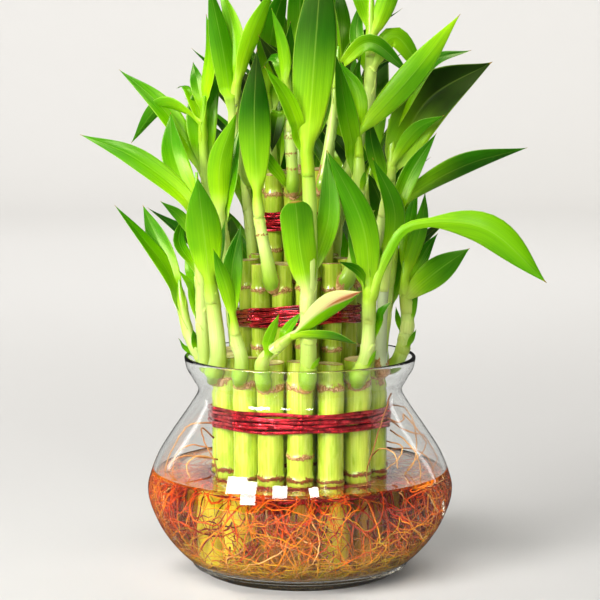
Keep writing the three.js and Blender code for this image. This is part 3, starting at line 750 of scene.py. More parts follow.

# %% [markdown]
# Shoots read in the front view
#
# A rule alone would give a plant, but not this plant. The shoots on the front are a given list:
# stem rows are what the viewer sees (x, z), a depth and a radius. Leaf rows are the height on the
# stem, the places the midrib passes, the width seen, how far the tip comes forward or goes back, and
# how dark the leaf is from 0 to 1, or that at its base and at its tip. Two more entries are the share
# that is stalk, and a word for a leaf with a blunt end or a dried streak. The solids were made from
# the same places. Small bracts at the feet of the shoots are a list of their own, since they are too
# small for the solids.

# %% Front shoots
FRONT_SHOOTS = {
    "outer_stalk_16": dict(bulb=-96, size=4, stem=[
        [-53, 116, 7.5, 3.3], [-59, 128, 9.5, 3.1], [-62.5, 145, 13, 2.6], [-64, 157, 15, 1.2],
    ], leaves=[
        [138, [[-72, 164], [-98, 197]], 7, 12, [0.1, 0.5]],
        [150, [[-73, 173], [-83, 197]], 13, 24, 0.35],
    ]),
    "outer_stalk_01": dict(bulb=-97, size=4.2, stem=[
        [-50.5, 116, -7, 3.8], [-52, 140, -8, 3.4], [-53, 170, -8, 3], [-54, 192, -6, 2.4],
        [-54.5, 214, -4, 1.2],
    ], leaves=[
        [135, [[-56, 150], [-65, 163]], 5, -6, 0.05],
        [145, [[-57, 158], [-61, 171]], 6, 8, 0.15],
        [160, [[-64, 176], [-61, 192]], 6, 14, 0.45],
        [176, [[-63, 190], [-74, 199]], 7, -14, 0.3],
        [188, [[-63, 203], [-88, 222], [-116, 234]], 12, 10, [0.25, 0.45]],
        [192, [[-66, 222], [-68, 246]], 14, 22, 0.3],
    ]),
    "outer_stalk_02": dict(bulb=-60, size=4.8, stem=[
        [-43.5, 116, -27, 4.4], [-45, 135, -28, 4], [-47, 150, -29, 3.8], [-49.5, 170, -31, 1.6],
    ], leaves=[
        [156, [[-51.5, 188], [-54, 212]], 19, -14, [0.12, 0.42]],
        [150, [[-42, 172], [-39, 191]], 5, 12, 0.3],
    ]),
    "outer_stalk_03": dict(bulb=-22, size=4, stem=[
        [-31, 114, -41, 3.6], [-34, 126, -42, 3.2], [-36, 142, -42, 1.6],
    ], leaves=[
        [136, [[-39, 153], [-46, 174]], 8, -8, 0.2],
        [138, [[-36, 162], [-31, 187]], 11, 6, 0.5],
    ]),
    "outer_stalk_04": dict(bulb=-22, size=4, stem=[
        [-20, 113, -49, 3.4], [-11, 122, -52, 3], [1, 131, -54, 1.6],
    ], leaves=[
        [114, [[-16, 126], [-11, 139]], 6, -8, 0.1],
        [129, [[15, 143], [33, 151]], 12, -6, 0.1, 0, "dry"],
        [127, [[15, 126], [31, 122.5]], 6, 4, 0.5],
        [121, [[-6, 131], [1, 140]], 5, 2, 0.1],
    ]),
    "outer_stalk_05": dict(bulb=25, size=4.4, stem=[
        [4.5, 118, -50, 4.2], [4, 140, -51, 4], [5, 160, -51, 3.9], [5, 200, -50, 3.6],
        [3, 230, -48, 2.8], [1, 250, -47, 1.2],
    ], leaves=[
        [150, [[0, 174], [-2.5, 199]], 17, -19.3, 0.15, 0, "blunt"],
        [158, [[15, 190], [14, 226]], 12, 8, 0.3],
        [222, [[-6, 250], [-19, 270]], 9, -10, 0.15],
        [224, [[8, 280], [12, 335]], 22, -8, [0.4, 1.0]],
        [226, [[11, 250], [16, 267]], 11, 12, 0.4],
    ]),
    "outer_stalk_07": dict(bulb=-5, size=4.4, stem=[
        [34, 112, -41, 4], [36, 122, -43, 3.6], [37, 150, -42, 3.2], [38, 160, -41, 1.4],
    ], leaves=[
        [148, [[33, 186], [14, 226]], 15, -10, [0.3, 0.5]],
        [146, [[31, 171], [25, 194]], 9, 4, 0.4],
        [150, [[31, 161], [20, 167]], 4, -12, 0.5],
        [146, [[46, 170], [60, 186], [98, 184], [131, 155]], 17, -6, [0.18, 0.3], 0.45],
        [150, [[47, 168], [53, 178]], 5, 8, 0.2],
        [124, [[41, 137], [49, 146]], 5, -5, 0.5],
    ]),
    "outer_stalk_08": dict(bulb=30, size=3.8, stem=[
        [43, 114, -19, 3.2], [43, 125, -19, 3], [44, 150, -19, 2.8], [46, 170, -18, 2.6],
        [48, 187, -16, 2.2], [50, 204, -14, 1],
    ], leaves=[
        [163, [[50, 193], [38, 222]], 11, -8, 0.4],
        [186, [[58, 213], [72, 235]], 10, 10, 0.45],
        [192, [[62, 204], [88, 218], [120, 227]], 12, 24, [0.8, 0.6]],
    ]),
    "outer_stalk_09": dict(bulb=88, size=4.2, stem=[
        [52, 114, 3, 3.8], [55, 122, 2, 3.8], [57, 134, 2, 3.6], [56, 150, 3, 3.3], [55, 167, 4, 1.6],
    ], leaves=[
        [148, [[73, 162], [90, 174]], 15, -10, 0.4],
        [152, [[66, 172], [73, 182]], 8, 8, 0.55],
        [158, [[64, 186], [66, 204]], 9, -6, 0.4],
        [160, [[58, 186], [62, 206]], 8, 18, 0.3],
    ]),
    "middle_stalk_02": dict(bulb=-50, size=4.2, stem=[
        [-17.5, 168, -32, 3.4], [-20, 180, -32, 3], [-22, 195, -31, 2.8], [-23, 214, -30, 1.4],
    ], leaves=[
        [202, [[-24, 242], [-22.5, 279]], 17, -10, [0.35, 0.95]],
    ]),
    "middle_stalk_04": dict(bulb=60, size=4.4, stem=[
        [28.5, 166, -25, 3.8], [29.5, 182, -25, 3.6], [31, 215, -24, 3.2], [30, 243, -22, 1.4],
    ], leaves=[
        [210, [[24, 245], [18, 278]], 10, -8, 0.35],
        [232, [[30, 254], [20, 273]], 10, 6, 0.2],
        [234, [[57, 263], [84, 297]], 14, -14, [0.6, 0.0]],
    ]),
    "middle_stalk_05": dict(bulb=85, size=4, stem=[
        [38, 170, -4, 3.2], [43, 187, -5, 3], [47, 207, -6, 2.8], [48, 228, -4, 2.2],
        [47, 242, -2, 1],
    ], leaves=[
        [214, [[66, 251], [101, 272]], 27, 12, [1.0, 1.0]],
        [234, [[66, 269], [90, 278]], 9, -6, 0.5],
        [218, [[61, 236], [76, 244]], 8, -12, 0.3],
        [200, [[38, 228], [36, 246]], 9, -6, 0.65],
    ]),
    "middle_stalk_12": dict(bulb=-80, size=4, stem=[
        [-38, 168, -10, 3], [-41, 182, -12, 3], [-43, 197, -12, 2.6], [-44, 214, -11, 1.2],
    ], leaves=[
        [190, [[-42, 219], [-33, 246]], 13, -10, 0.1],
        [184, [[-36, 212], [-31, 240]], 8, 6, 0.4],
    ]),
    "middle_stalk_11": dict(bulb=-103, size=4, stem=[
        [-40, 170, 10, 3.2], [-46, 192, 12, 3], [-50, 215, 12, 2.6], [-51, 236, 10, 2.2],
        [-50, 254, 8, 1],
    ], leaves=[
        [216, [[-51, 248], [-39, 272]], 17, 8, [0.2, 0.8]],
        [240, [[-72, 249], [-89, 229]], 8, 16, 0.35],
        [246, [[-54, 262], [-56, 272]], 8, 10, 0.4],
        [248, [[-46, 276], [-49, 297]], 7, -8, 0.15],
        [212, [[-71, 246], [-95, 268]], 11, -16, 0.2],
    ]),
    "inner_stalk_08": dict(bulb=-90, size=3.6, stem=[
        [-29, 213, 1, 3], [-33, 228, 0, 2.9], [-35, 243, -1, 2.7], [-33, 263, -3, 2.2],
        [-32, 276, -4, 1],
    ], leaves=[
        [240, [[-40, 276], [-48, 315]], 12, -6, 0.35],
        [252, [[-34, 286], [-43, 313]], 10, 8, 0.05],
        [260, [[-25, 286], [-13, 312]], 9, -8, 0.1],
        [220, [[-27, 240], [-25, 256]], 8, 14, 0.35],
    ]),
    "inner_stalk_02": dict(bulb=0, size=3.4, stem=[
        [-4, 214, -22, 3], [-5, 227, -22, 3], [-6, 242, -21, 2.6], [-7, 262, -19, 2.2],
        [-7.5, 276, -18, 1],
    ], leaves=[
        [206, [[-14, 216], [-24, 232]], 6, -14, 0.2],
        [258, [[-10, 281], [-15, 300]], 7, -4, 0.15],
        [262, [[-6, 279], [-5, 293]], 6, 6, 0.5],
        [242, [[-11, 246], [-15, 224]], 9, -5, 0.85],
        [256, [[-13, 274], [-21, 267]], 6, 12, 0.55],
    ]),
    "inner_stalk_03": dict(bulb=40, size=3.4, stem=[
        [13, 216, -15, 2.8], [17, 240, -14, 2.5], [19, 262, -13, 2.2], [20, 280, -12, 1],
    ], leaves=[
        [268, [[37, 282], [59, 264]], 9, -6, 0.5],
        [248, [[24, 270], [31, 274]], 8, 4, 0.7],
        [258, [[14, 290], [19, 316]], 9, 8, 0.3],
    ]),
    "inner_stalk_04": dict(bulb=83, size=3.6, stem=[
        [26, 217, -4, 3.2], [32, 234, -5, 3.2], [36, 252, -5, 3.2], [37, 277, -5, 2.8],
        [37, 300, -4, 2], [37, 313, -3, 1],
    ], leaves=[
        [268, [[50, 285], [67, 261]], 11, 6, 0.1],
        [284, [[44, 300], [53, 328]], 11, -8, 0.3],
        [288, [[32, 306], [26, 329]], 10, 6, 0.35],
        [262, [[30, 286], [33, 306]], 8, 10, 0.4],
        [240, [[29, 262], [32, 276]], 7, -10, 0.35],
    ]),
}
BRACTS = {
    "outer_stalk_16": [[115, [[-65, 126]], 3.5, -3, 0.2], [117, [[-57, 131]], 5, -7, 0.3]],
    "outer_stalk_03": [[124, [[-38.5, 142]], 4, 3, 0.2]],
    "outer_stalk_05": [[127, [[8.5, 138]], 4, -4, 0.2], [111, [[10.5, 117]], 3.5, -3, 0.1]],
    "outer_stalk_07": [[112, [[40, 121]], 3.5, -3, 0.1]],
    "outer_stalk_09": [[122, [[62, 131]], 4, -3, 0.2], [134, [[60, 146], [63, 156]], 4, 3, 0.3],
                       [128, [[51, 143]], 4, -3, 0.25]],
    "middle_stalk_02": [[190, [[-25, 205]], 4, 4, 0.2]],
    "middle_stalk_04": [[205, [[34.5, 215]], 4, -3, 0.2]],
    "middle_stalk_11": [[236, [[-59, 257], [-65, 258]], 6, 18, 0.2]],
}
for name, shoot in FRONT_SHOOTS.items():
    STALKS[name].bulb = shoot["bulb"]
leaves_read = sum(len(shoot["leaves"]) for shoot in FRONT_SHOOTS.values())
print("front shoots:", len(FRONT_SHOOTS), "leaves:", leaves_read)

# %% [markdown]
# Shoots on the back
#
# The back isn't seen in the front view, so its shoots follow a rule: a stem that leans out as it
# rises, and leaves that turn by the golden angle. The draws come from a small generator with a fixed
# seed, written out here because the solids used the same one in another language, where numpy's
# own generator can't be had.

# %% Repeatable draws
BACK_SEED = 20261
DRAW_FACTOR = 16807
DRAW_LIMIT = 2147483647
BACK_STALKS = ([f"outer_stalk_{number}" for number in range(10, 16)]
               + [f"middle_stalk_{number:02d}" for number in range(6, 11)]
               + [f"inner_stalk_{number:02d}" for number in range(5, 8)])
BACK_LEAVES = {"outer": 4, "middle": 4, "inner": 5}
BACK_STEM_RISE = {"outer": (70, 105), "middle": (62, 84), "inner": (52, 66)}
BACK_LEAF_LENGTH = (50, 82)
BACK_LEAF_WIDTH = (11, 18)
LEAF_TURN = 137.5


class Draws:
    """Numbers from 0 to 1 that are the same on every run."""

    def __init__(self, seed):
        self.state = seed

    def one(self):
        self.state = (self.state * DRAW_FACTOR) % DRAW_LIMIT
        return self.state / DRAW_LIMIT

    def between(self, limits):
        return limits[0] + (limits[1] - limits[0]) * self.one()


back_draws = Draws(BACK_SEED)
print("the first draw would be", round(Draws(BACK_SEED).one(), 6))

# %% Where the stems run
ELBOW_REACH = 1.18
ELBOW_RISE = 2.4


def stem_start(stalk, bulb):
    """Where a stem leaves its cane: inside it, then just outside it a little higher."""
    out = heading(bulb)
    root = stalk.middle + 0.35 * stalk.tier.radius * out
    elbow = stalk.middle + ELBOW_REACH * stalk.tier.radius * out
    root[2] = stalk.node - 0.5
    elbow[2] = stalk.node + ELBOW_RISE
    return root, elbow


def back_stem(stalk):
    """Places, radii and rise of a stem on the back, by the rule."""
    tier = stalk.tier
    bulb = stalk.angle + 20 * (back_draws.one() - 0.5)
    rise = back_draws.between(BACK_STEM_RISE[tier.name])
    lean = 0.1 + 0.12 * back_draws.one()
    size = 0.62 * tier.radius
    out = heading(bulb)
    foot = stalk.middle + 1.25 * tier.radius * out
    places = []
    for share in (0.1, 0.4, 0.72, 1):
        place = foot + out * lean * rise * share ** 1.4
        place[2] = stalk.node + ELBOW_RISE + rise * share + 2
        places.append(place)
    stalk.bulb = bulb
    stalk.rise = rise
    root, elbow = stem_start(stalk, bulb)
    return [root, elbow, *places], [size, 1.08 * size, 0.85 * size, 0.78 * size, 0.62 * size, 1]


for name, shoot in FRONT_SHOOTS.items():
    stalk = STALKS[name]
    root, elbow = stem_start(stalk, shoot["bulb"])
    stalk.stem = Line([root, elbow] + [seen_at(*row[:3]) for row in shoot["stem"]])
    stalk.stem_radii = [shoot["size"], 1.08 * shoot["size"]] + [row[3] for row in shoot["stem"]]
for name in BACK_STALKS:
    places, STALKS[name].stem_radii = back_stem(STALKS[name])
    STALKS[name].stem = Line(places)
SHOOTING = [stalk for stalk in STALKS.values() if stalk.bulb is not None]
print("stalks with a shoot:", len(SHOOTING))

# %% [markdown]
# Cane skin
#
# A young cane is glossy yellow-green with paler lengthwise streaks. At each node runs a papery brown
# scar where a leaf sheath once sat, and the cut top has dried to a pale tan with a darker rim. The
# mesh tells the material where the scars and the cuts are, with values from 0 to 1. Under water most
# canes are a darker golden brown, partly a stain and partly painted shade among the roots.

# %% Cane material: green skin
cane_kit = Kit("cane skin")
fibre, patch = add_streaks(cane_kit, 1.1, 0.03, 0.16)
cane_green = cane_kit.ramp(fibre, [(0.28, screen(166, 190, 38)), (0.5, screen(190, 208, 62)),
                                   (0.72, screen(210, 222, 100))])
cane_shade = cane_kit.ramp(patch, [(0.32, (0.66, 0.78, 0.46, 1)), (0.62, (1.12, 1.08, 1.1, 1))])
cane_colour = cane_kit.blend(1.0, cane_green, cane_shade, "MULTIPLY")
cane_tone = cane_kit.value_of("tone")
cane_colour = cane_kit.blend(cane_tone, cane_colour, screen(190, 214, 120), "MULTIPLY")
print("nodes for the green skin:", len(cane_kit.tree.nodes))

# %% Cane material: scars, stains and painted shade
flecks = cane_kit.flecks(1.1, 6, 0.7)
scar = cane_kit.value_of("scar")
rough = cane_kit.times(cane_kit.minus(flecks, 0.5), 2.6)
scar_edge = cane_kit.plus(scar, rough)
scar_mask = cane_kit.mask(scar_edge, 0.42, 0.56)
scar_tint = cane_kit.plus(cane_kit.times(scar, 0.55), cane_kit.times(rough, 0.9))
scar_colour = cane_kit.ramp(scar_tint, [(0.1, screen(70, 36, 14)), (0.3, screen(132, 80, 36)),
                                        (0.5, screen(190, 138, 80)), (0.75, screen(228, 190, 136))])
# Scars below 72 mm, where roots grow, are multiplied to a reddish brown: the brown is the scar's own,
# the red a painted reflection of the roots.
root_ring = cane_kit.value_of("root_ring")
scar_colour = cane_kit.blend(root_ring, scar_colour, screen(176, 112, 74), "MULTIPLY")
# Under water the colour is multiplied to a darker golden brown: partly a stain, partly painted shade
# among the roots.
wet = cane_kit.value_of("wet")
cane_colour = cane_kit.blend(wet, cane_colour, screen(244, 156, 26), "MULTIPLY")
golden = cane_kit.times(cane_kit.value_of("clean"), 0.6)
cane_colour = cane_kit.blend(golden, cane_colour, screen(238, 214, 30))
cane_colour = cane_kit.blend(scar_mask, cane_colour, scar_colour)
print("nodes with scars and stains:", len(cane_kit.tree.nodes))

# %% Cane material: cuts and finish
cut = cane_kit.value_of("cut")
cut_edge = cane_kit.plus(cut, cane_kit.times(flecks, 0.2))
cut_colour = cane_kit.ramp(cut_edge, [(0.3, screen(120, 74, 34)), (0.6, screen(196, 150, 88)),
                                      (0.85, screen(226, 200, 140))])
cane_colour = cane_kit.blend(cane_kit.mask(cut_edge, 0.2, 0.36), cane_colour, cut_colour)
cane_rough = cane_kit.plus(cane_kit.times(scar_mask, 0.4), cane_kit.times(patch, 0.3))
cane_kit.paint(cane_colour, cane_kit.math("ADD", cane_rough, 0.14, clamp=True))
cane_kit.bump(cane_kit.plus(fibre, cane_kit.times(scar_mask, flecks)), 0.3, 0.2)
cane_kit.set(Coat_Weight=0.9, Coat_Roughness=0.2, Specular_Tint=(1, 1, 0.7, 1))
CANE_SKIN = cane_kit.material
print("cane material nodes:", len(cane_kit.tree.nodes))

# %% [markdown]
# The canes
#
# A cane could be a lathe with noise on it, but real nodes aren't level rings: the scar wavers, dips
# below the bud that the shoot grew from, and stands proud as a thin papery lip. So each ring of
# corners is placed by a formula of height and angle. Rows lie close together only where the shape
# needs them.

# %% Heights on a cane
CANE_SIDES = {"outer": 28, "middle": 24, "inner": 20}
ROUND_SHARE = 0.955
ROW_STEP = 6.0
NEAR_NODE = [-6, -4.6, -3.6, -2.8, -2.1, -1.5, -1, -0.5, 0, 0.5, 1, 1.5, 2.1, 3, 4.4]
WATER_NODE = 57.5
NODE_SPACING = 46


def cane_nodes(stalk):
    """The heights of a cane's nodes, from the lowest: where roots grow, old nodes, the top node."""
    lower = stalk.tier.lower_nodes.get(stalk.index)
    root_node = WATER_NODE + 1.2 * math.sin(2.3 * stalk.index)
    older = [stalk.node - 2 * NODE_SPACING, stalk.node - NODE_SPACING]
    nodes = [root_node] if stalk.tier is OUTER else older
    if lower:
        nodes = [node for node in nodes if abs(node - lower) > 8] + [lower]
    return sorted(nodes) + [stalk.node]


def cane_heights(stalk, nodes):
    """The height of each ring of a cane. They lie close together at the nodes and below the cut."""
    near = [node + step for node in nodes for step in NEAR_NODE]
    rows = sorted(set(np.arange(CANE_FOOT, stalk.top - 2, ROW_STEP).round(2)) | set(np.round(near, 2)))
    rows = [row for row in rows if CANE_FOOT <= row < stalk.top - 1.4]
    return np.array([*rows, stalk.top - 1.2, stalk.top - 0.5, stalk.top - 0.12])


print("nodes of the first cane:", [round(node, 1) for node in cane_nodes(STALKS["outer_stalk_01"])])

# %% Nodes and cuts
BUD_DIP = 3.4
CUT_RINGS = [(0.95, 0.0, 0.5), (0.86, -0.1, 0.75), (0.6, -0.3, 0.85), (0.25, -0.4, 1.0)]


def node_relief(off_node, turn, order, phase, bulb):
    """How far a cane stands out at each height off a node, and how much is scar, from 0 to 1."""
    waver = (0.3 * np.sin(np.radians(3 * turn) + phase[3] + order)
             + 0.25 * np.sin(np.radians(5 * turn) + phase[4] + 2 * order))
    if bulb is not None:
        off_bulb = (turn - bulb + 180) % 360 - 180
        waver = waver - BUD_DIP * np.exp(-(off_bulb / 34) ** 2)
    off_ring = off_node - waver * np.exp(-(off_node / 5) ** 2)
    ragged = 0.75 + 0.35 * np.sin(np.radians(11 * turn) + phase[5]) * np.sin(np.radians(17 * turn))
    swell = 0.3 * np.exp(-(off_ring / 2.4) ** 2)
    lip = 0.32 * ragged * np.exp(-((off_ring - 0.4) / 0.8) ** 2)
    waist = 0.16 * np.exp(-((off_ring - 3.4) / 1.6) ** 2)
    scar_width = 2.3 + 0.7 * np.sin(np.radians(4 * turn) + phase[2] + order)
    return swell + lip - waist, np.clip(1 - np.abs(off_ring) / scar_width, 0, 1)


def cane_rings(stalk, radius, heights, turn, slant):
    """The corners of a cane's wall and of its cut top, and how far each is in the cut, from 0 to 1."""
    ways = np.column_stack([np.sin(turn), -np.cos(turn), np.zeros(len(turn))])
    corners = radius[:, :, None] * ways + np.array([stalk.middle[0], stalk.middle[1], 0])
    corners[:, :, 2] = heights
    corners[-1, :, 2] += slant
    corners[-2, :, 2] += 0.8 * slant
    cut = np.zeros_like(radius)
    cut[-1] = 0.35
    cut[-2] = 0.1
    for share, drop, value in CUT_RINGS:
        ring = share * radius[-1][:, None] * ways + stalk.middle
        ring[:, 2] = stalk.top + drop + slant * share
        corners = np.concatenate([corners, ring[None]])
        cut = np.vstack([cut, np.full(len(turn), value)])
    return corners, cut


print("rows near a node:", len(NEAR_NODE), "rings on a cut:", len(CUT_RINGS))

# %% Canes
CUT_SLANT = 0.5
ROOT_RING_TOP = 72
STAIN_TOP = 53
CLEAN_UNDER_WATER = ("outer_stalk_02", "outer_stalk_03", "outer_stalk_06")
cane_rng = np.random.default_rng(41)


def cane_shell(stalk):
    tier = stalk.tier
    sides = CANE_SIDES[tier.name]
    nodes = cane_nodes(stalk)
    heights = cane_heights(stalk, nodes)[:, None]
    turn = (np.arange(sides) * 360 / sides)[None, :]
    phase = cane_rng.uniform(0, 2 * math.pi, 6)
    oval = 1 + 0.012 * np.sin(np.radians(2 * turn) + phase[0])
    wobble = 0.008 * np.sin(heights / 17 + phase[1]) + 0.005 * np.sin(heights / 6.5 + phase[2])
    radius = tier.radius * ROUND_SHARE * oval * (1 + wobble)
    scar = np.zeros_like(radius)
    for order, node in enumerate(nodes):
        bulb = stalk.bulb if node == stalk.node else None
        lift, node_scar = node_relief(heights - node, turn, order, phase, bulb)
        radius = radius + lift
        scar = np.maximum(scar, node_scar)
    round_turn = np.radians(turn[0])
    slant = CUT_SLANT * np.sin(round_turn + phase[0])
    corners, cut = cane_rings(stalk, radius, heights, round_turn, slant)
    scar = np.vstack([scar, np.zeros((len(CUT_RINGS), sides))])
    grain = corners.reshape(-1, 3) + 50 * cane_rng.uniform(-1, 1, 3)
    tone = 0.5 * cane_rng.uniform() ** 2
    root_ring = np.clip((ROOT_RING_TOP - corners[:, :, 2]) / 8, 0, 1).ravel()
    # Corners under water take the golden-brown stain and the painted shade there; the clean canes take
    # half of it.
    sunk = np.clip((STAIN_TOP - corners[:, :, 2]) / 6, 0, 1).ravel()
    clean = float(stalk.name in CLEAN_UNDER_WATER)
    shell = Shell("grain", "scar", "cut", "tone", "root_ring", "wet", "clean")
    shell.add(corners, capped_band(len(corners), sides), grain=grain, scar=scar.ravel(),
              cut=cut.ravel(), tone=tone, root_ring=root_ring, wet=sunk * (1 - 0.5 * clean),
              clean=sunk * clean)
    return shell


for stalk in STALKS.values():
    make_piece(f"{stalk.name}_cane", cane_shell(stalk), CANE_SKIN, [stalk.name])
print("canes:", len(STALKS))

# %% [markdown]
# Crimson foil
#
# The ties are wire in a shiny crimson foil, creased all over. One plain red metal would look cast, so
# streaks and patches set how rough each fold is and how deep its red. The turns that lie under the
# others are a darker red, because little light reaches them.

# %% Wire material
wire_kit = Kit("crimson foil wire")
fibre, patch = add_streaks(wire_kit, 0.9, 1.0, 0.22)
wire_colour = wire_kit.ramp(patch, [(0.3, screen(112, 2, 14)), (0.5, screen(182, 10, 30)),
                                    (0.7, screen(228, 46, 66))])
under_colour = wire_kit.blend(wire_kit.value_of("under"), wire_colour, screen(110, 98, 98), "MULTIPLY")
wire_kit.paint(under_colour, wire_kit.plus(wire_kit.times(fibre, 0.3), 0.02))
wire_kit.bump(fibre, 0.6, 0.3)
wire_kit.set(Metallic=0.75, Coat_Weight=0.7, Coat_Roughness=0.1)
WIRE = wire_kit.material
print("wire material nodes:", len(wire_kit.tree.nodes))

# %% [markdown]
# Wire ties
#
# Each tie is wound several times round a ring of canes. One ridged ring would read as a plastic band,
# so every turn of wire is its own tube. It lies where a taut wire must: round the outside of each
# cane and straight across to the next. Small wavers keep the turns from being machine made.

# %% The path of a wire
WIRE_RADIUS = 0.76
CRINKLE_PARTS = 3
CRINKLE = 0.08
TIES = [
    dict(name="tie_outer_lower", tier=OUTER, low=45.5, high=51.7, turns=4, tilt=(0, 0)),
    dict(name="tie_outer", tier=OUTER, low=80, high=90.4, turns=6, tilt=(0, 0.05)),
    dict(name="tie_middle", tier=MIDDLE, low=133, high=143, turns=6, tilt=(0.043, 0.12)),
    dict(name="tie_inner", tier=INNER, low=184.2, high=194.2, turns=6, tilt=(0, 0)),
]
wire_rng = np.random.default_rng(7)


def taut_ring(tier, spare):
    """The path of a taut wire round a ring of canes: an arc on each cane, straight between them."""
    reach = tier.radius * math.cos(math.pi / SIDES_OF_SOLID) + spare
    angles = sorted((angle + 360) % 360 for angle in tier.angles)
    spots = []
    for i, angle in enumerate(angles):
        before = (angle - angles[i - 1]) % 360
        after = (angles[(i + 1) % len(angles)] - angle) % 360
        for share in (-0.5, -0.3, -0.1, 0.1, 0.3, 0.5):
            turn = angle + share * (before if share < 0 else after)
            spots.append(heading(angle) * tier.ring + heading(turn) * reach)
    return np.array(spots)


def crinkled(spots, reach):
    """A closed ring with more places on it, each a little in or out, as crumpled foil is."""
    after = np.roll(spots, -1, axis=0)
    parts = np.arange(CRINKLE_PARTS)[:, None, None] / CRINKLE_PARTS
    fine = ((1 - parts) * spots + parts * after).transpose(1, 0, 2).reshape(-1, 3)
    fine[:, :2] *= 1 + CRINKLE * wire_rng.normal(0, 1, len(fine))[:, None] / reach
    return fine


def wire_turn(tie, number):
    """The closed path of one turn of wire. The later turns lie under the first ones, in between."""
    tier = tie["tier"]
    pitch = (tie["high"] - tie["low"] - 2 * WIRE_RADIUS) / (tie["turns"] - 1)
    under = number >= tie["turns"]
    level = number - tie["turns"] + 0.5 if under else number
    spare = 0.1 + WIRE_RADIUS if under else 0.7 + WIRE_RADIUS + 0.2 * (number % 2)
    spots = crinkled(taut_ring(tier, spare), tier.ring + tier.radius)
    turn = np.arctan2(spots[:, 1], spots[:, 0])
    phase = wire_rng.uniform(0, 2 * math.pi, 4)
    waver = 0.4 * np.sin(3 * turn + phase[0]) + 0.32 * np.sin(7 * turn + phase[1])
    spots[:, 2] = tie["low"] + WIRE_RADIUS + level * pitch + waver
    spots[:, 2] += tie["tilt"][0] * spots[:, 0] - tie["tilt"][1] * spots[:, 1]
    spots *= np.array([1 + 0.002 * np.sin(phase[2]), 1 + 0.002 * np.sin(phase[3]), 1])
    spots[:, 0] += tier.x
    return spots


print("corners in the path round the outer canes:", len(taut_ring(OUTER, WIRE_RADIUS)))

# %% Ties
WIRE_SIDES = 8
WIRE_THICK = 0.86
WIRE_TALL = 1.1


def wire_corners(spots):
    """Rings of corners round a closed path of wire."""
    along = np.roll(spots, -1, axis=0) - np.roll(spots, 1, axis=0)
    along /= np.linalg.norm(along, axis=1)[:, None]
    out = np.cross(along, np.array([0, 0, 1.0]))
    out /= np.linalg.norm(out, axis=1)[:, None]
    up = np.cross(out, along)
    sweep = np.arange(WIRE_SIDES) * 2 * math.pi / WIRE_SIDES
    ways = (WIRE_THICK * np.cos(sweep)[None, :, None] * out[:, None]
            + WIRE_TALL * np.sin(sweep)[None, :, None] * up[:, None])
    return spots[:, None] + WIRE_RADIUS * wire_rng.uniform(0.9, 1.25) * ways


def tie_shell(tie):
    shell = Shell("grain", "under")
    for number in range(2 * tie["turns"] - 1):
        corners = wire_corners(wire_turn(tie, number))
        faces = band(len(corners), WIRE_SIDES)
        last = (len(corners) - 1) * WIRE_SIDES
        for side in range(WIRE_SIDES):
            after = (side + 1) % WIRE_SIDES
            faces.append((last + side, last + after, after, side))
        grain = corners.reshape(-1, 3) + 9 * number
        shell.add(corners, faces, grain=grain, under=float(number >= tie["turns"]))
    return shell


for tie in TIES:
    make_piece(f"{tie['name']}_wire", tie_shell(tie), WIRE, [tie["name"]])
print("ties:", len(TIES), "turns of wire:", sum(tie["turns"] for tie in TIES))

# %% [markdown]
# Shoot green, a shared effect
#
# A shoot is pale where it leaves the cane, whitish yellow-green along its stem and lime above. The
# bases of its leaves wrap the stem and have its colour, so stem and leaf must agree. One node group
# gives the colour for a height share along the shoot, and both materials use it.

# %% Group: shoot green
SHOOT_STOPS = [
    (0.0, screen(118, 160, 20)), (0.12, screen(150, 190, 44)), (0.24, screen(190, 220, 92)),
    (0.42, screen(218, 240, 138)), (0.62, screen(208, 235, 114)), (0.82, screen(168, 214, 40)),
    (1.0, screen(124, 194, 8)),
]
SHOOT_SHADES = [(0.3, (0.9, 0.94, 0.78, 1)), (0.7, (1.06, 1.04, 1.1, 1))]


def shoot_green_group():
    group = bpy.data.node_groups.new("Shoot green", "ShaderNodeTree")
    for name in ("Growth", "Fibre"):
        group.interface.new_socket(name, in_out="INPUT", socket_type="NodeSocketFloat")
    group.interface.new_socket("Color", in_out="OUTPUT", socket_type="NodeSocketColor")
    nodes, links = group.nodes, group.links
    start, end = nodes.new("NodeGroupInput"), nodes.new("NodeGroupOutput")
    ramp = nodes.new("ShaderNodeValToRGB")
    fill_ramp(ramp, SHOOT_STOPS)
    links.new(start.outputs["Growth"], ramp.inputs[0])
    shade = nodes.new("ShaderNodeValToRGB")
    fill_ramp(shade, SHOOT_SHADES)
    links.new(start.outputs["Fibre"], shade.inputs[0])
    mix = nodes.new("ShaderNodeMix")
    mix.data_type = "RGBA"
    mix.blend_type = "MULTIPLY"
    mix.inputs[MIX_FACTOR].default_value = 1
    for colour, number in zip((ramp, shade), MIX_COLOURS):
        links.new(colour.outputs[0], mix.inputs[number])
    links.new(mix.outputs[MIX_RESULT], end.inputs["Color"])
    return group


SHOOT_GREEN = shoot_green_group()


def add_shoot_green(kit, growth, fibre):
    made = kit.node("ShaderNodeGroup", node_tree=SHOOT_GREEN)
    kit.join(growth, made.inputs["Growth"])
    kit.join(fibre, made.inputs["Fibre"])
    return made.outputs["Color"]


print("inputs:", [item.name for item in SHOOT_GREEN.interface.items_tree if item.in_out == "INPUT"])

# %% [markdown]
# Stem skin
#
# A stem is whitish green near its cane and lime above, with tan, papery scars where it broke out of
# the cane and where leaves clasped it. Its green comes from the shared group, so that it agrees with
# the leaves. The scars are a value on the corners, with an edge made ragged by noise.

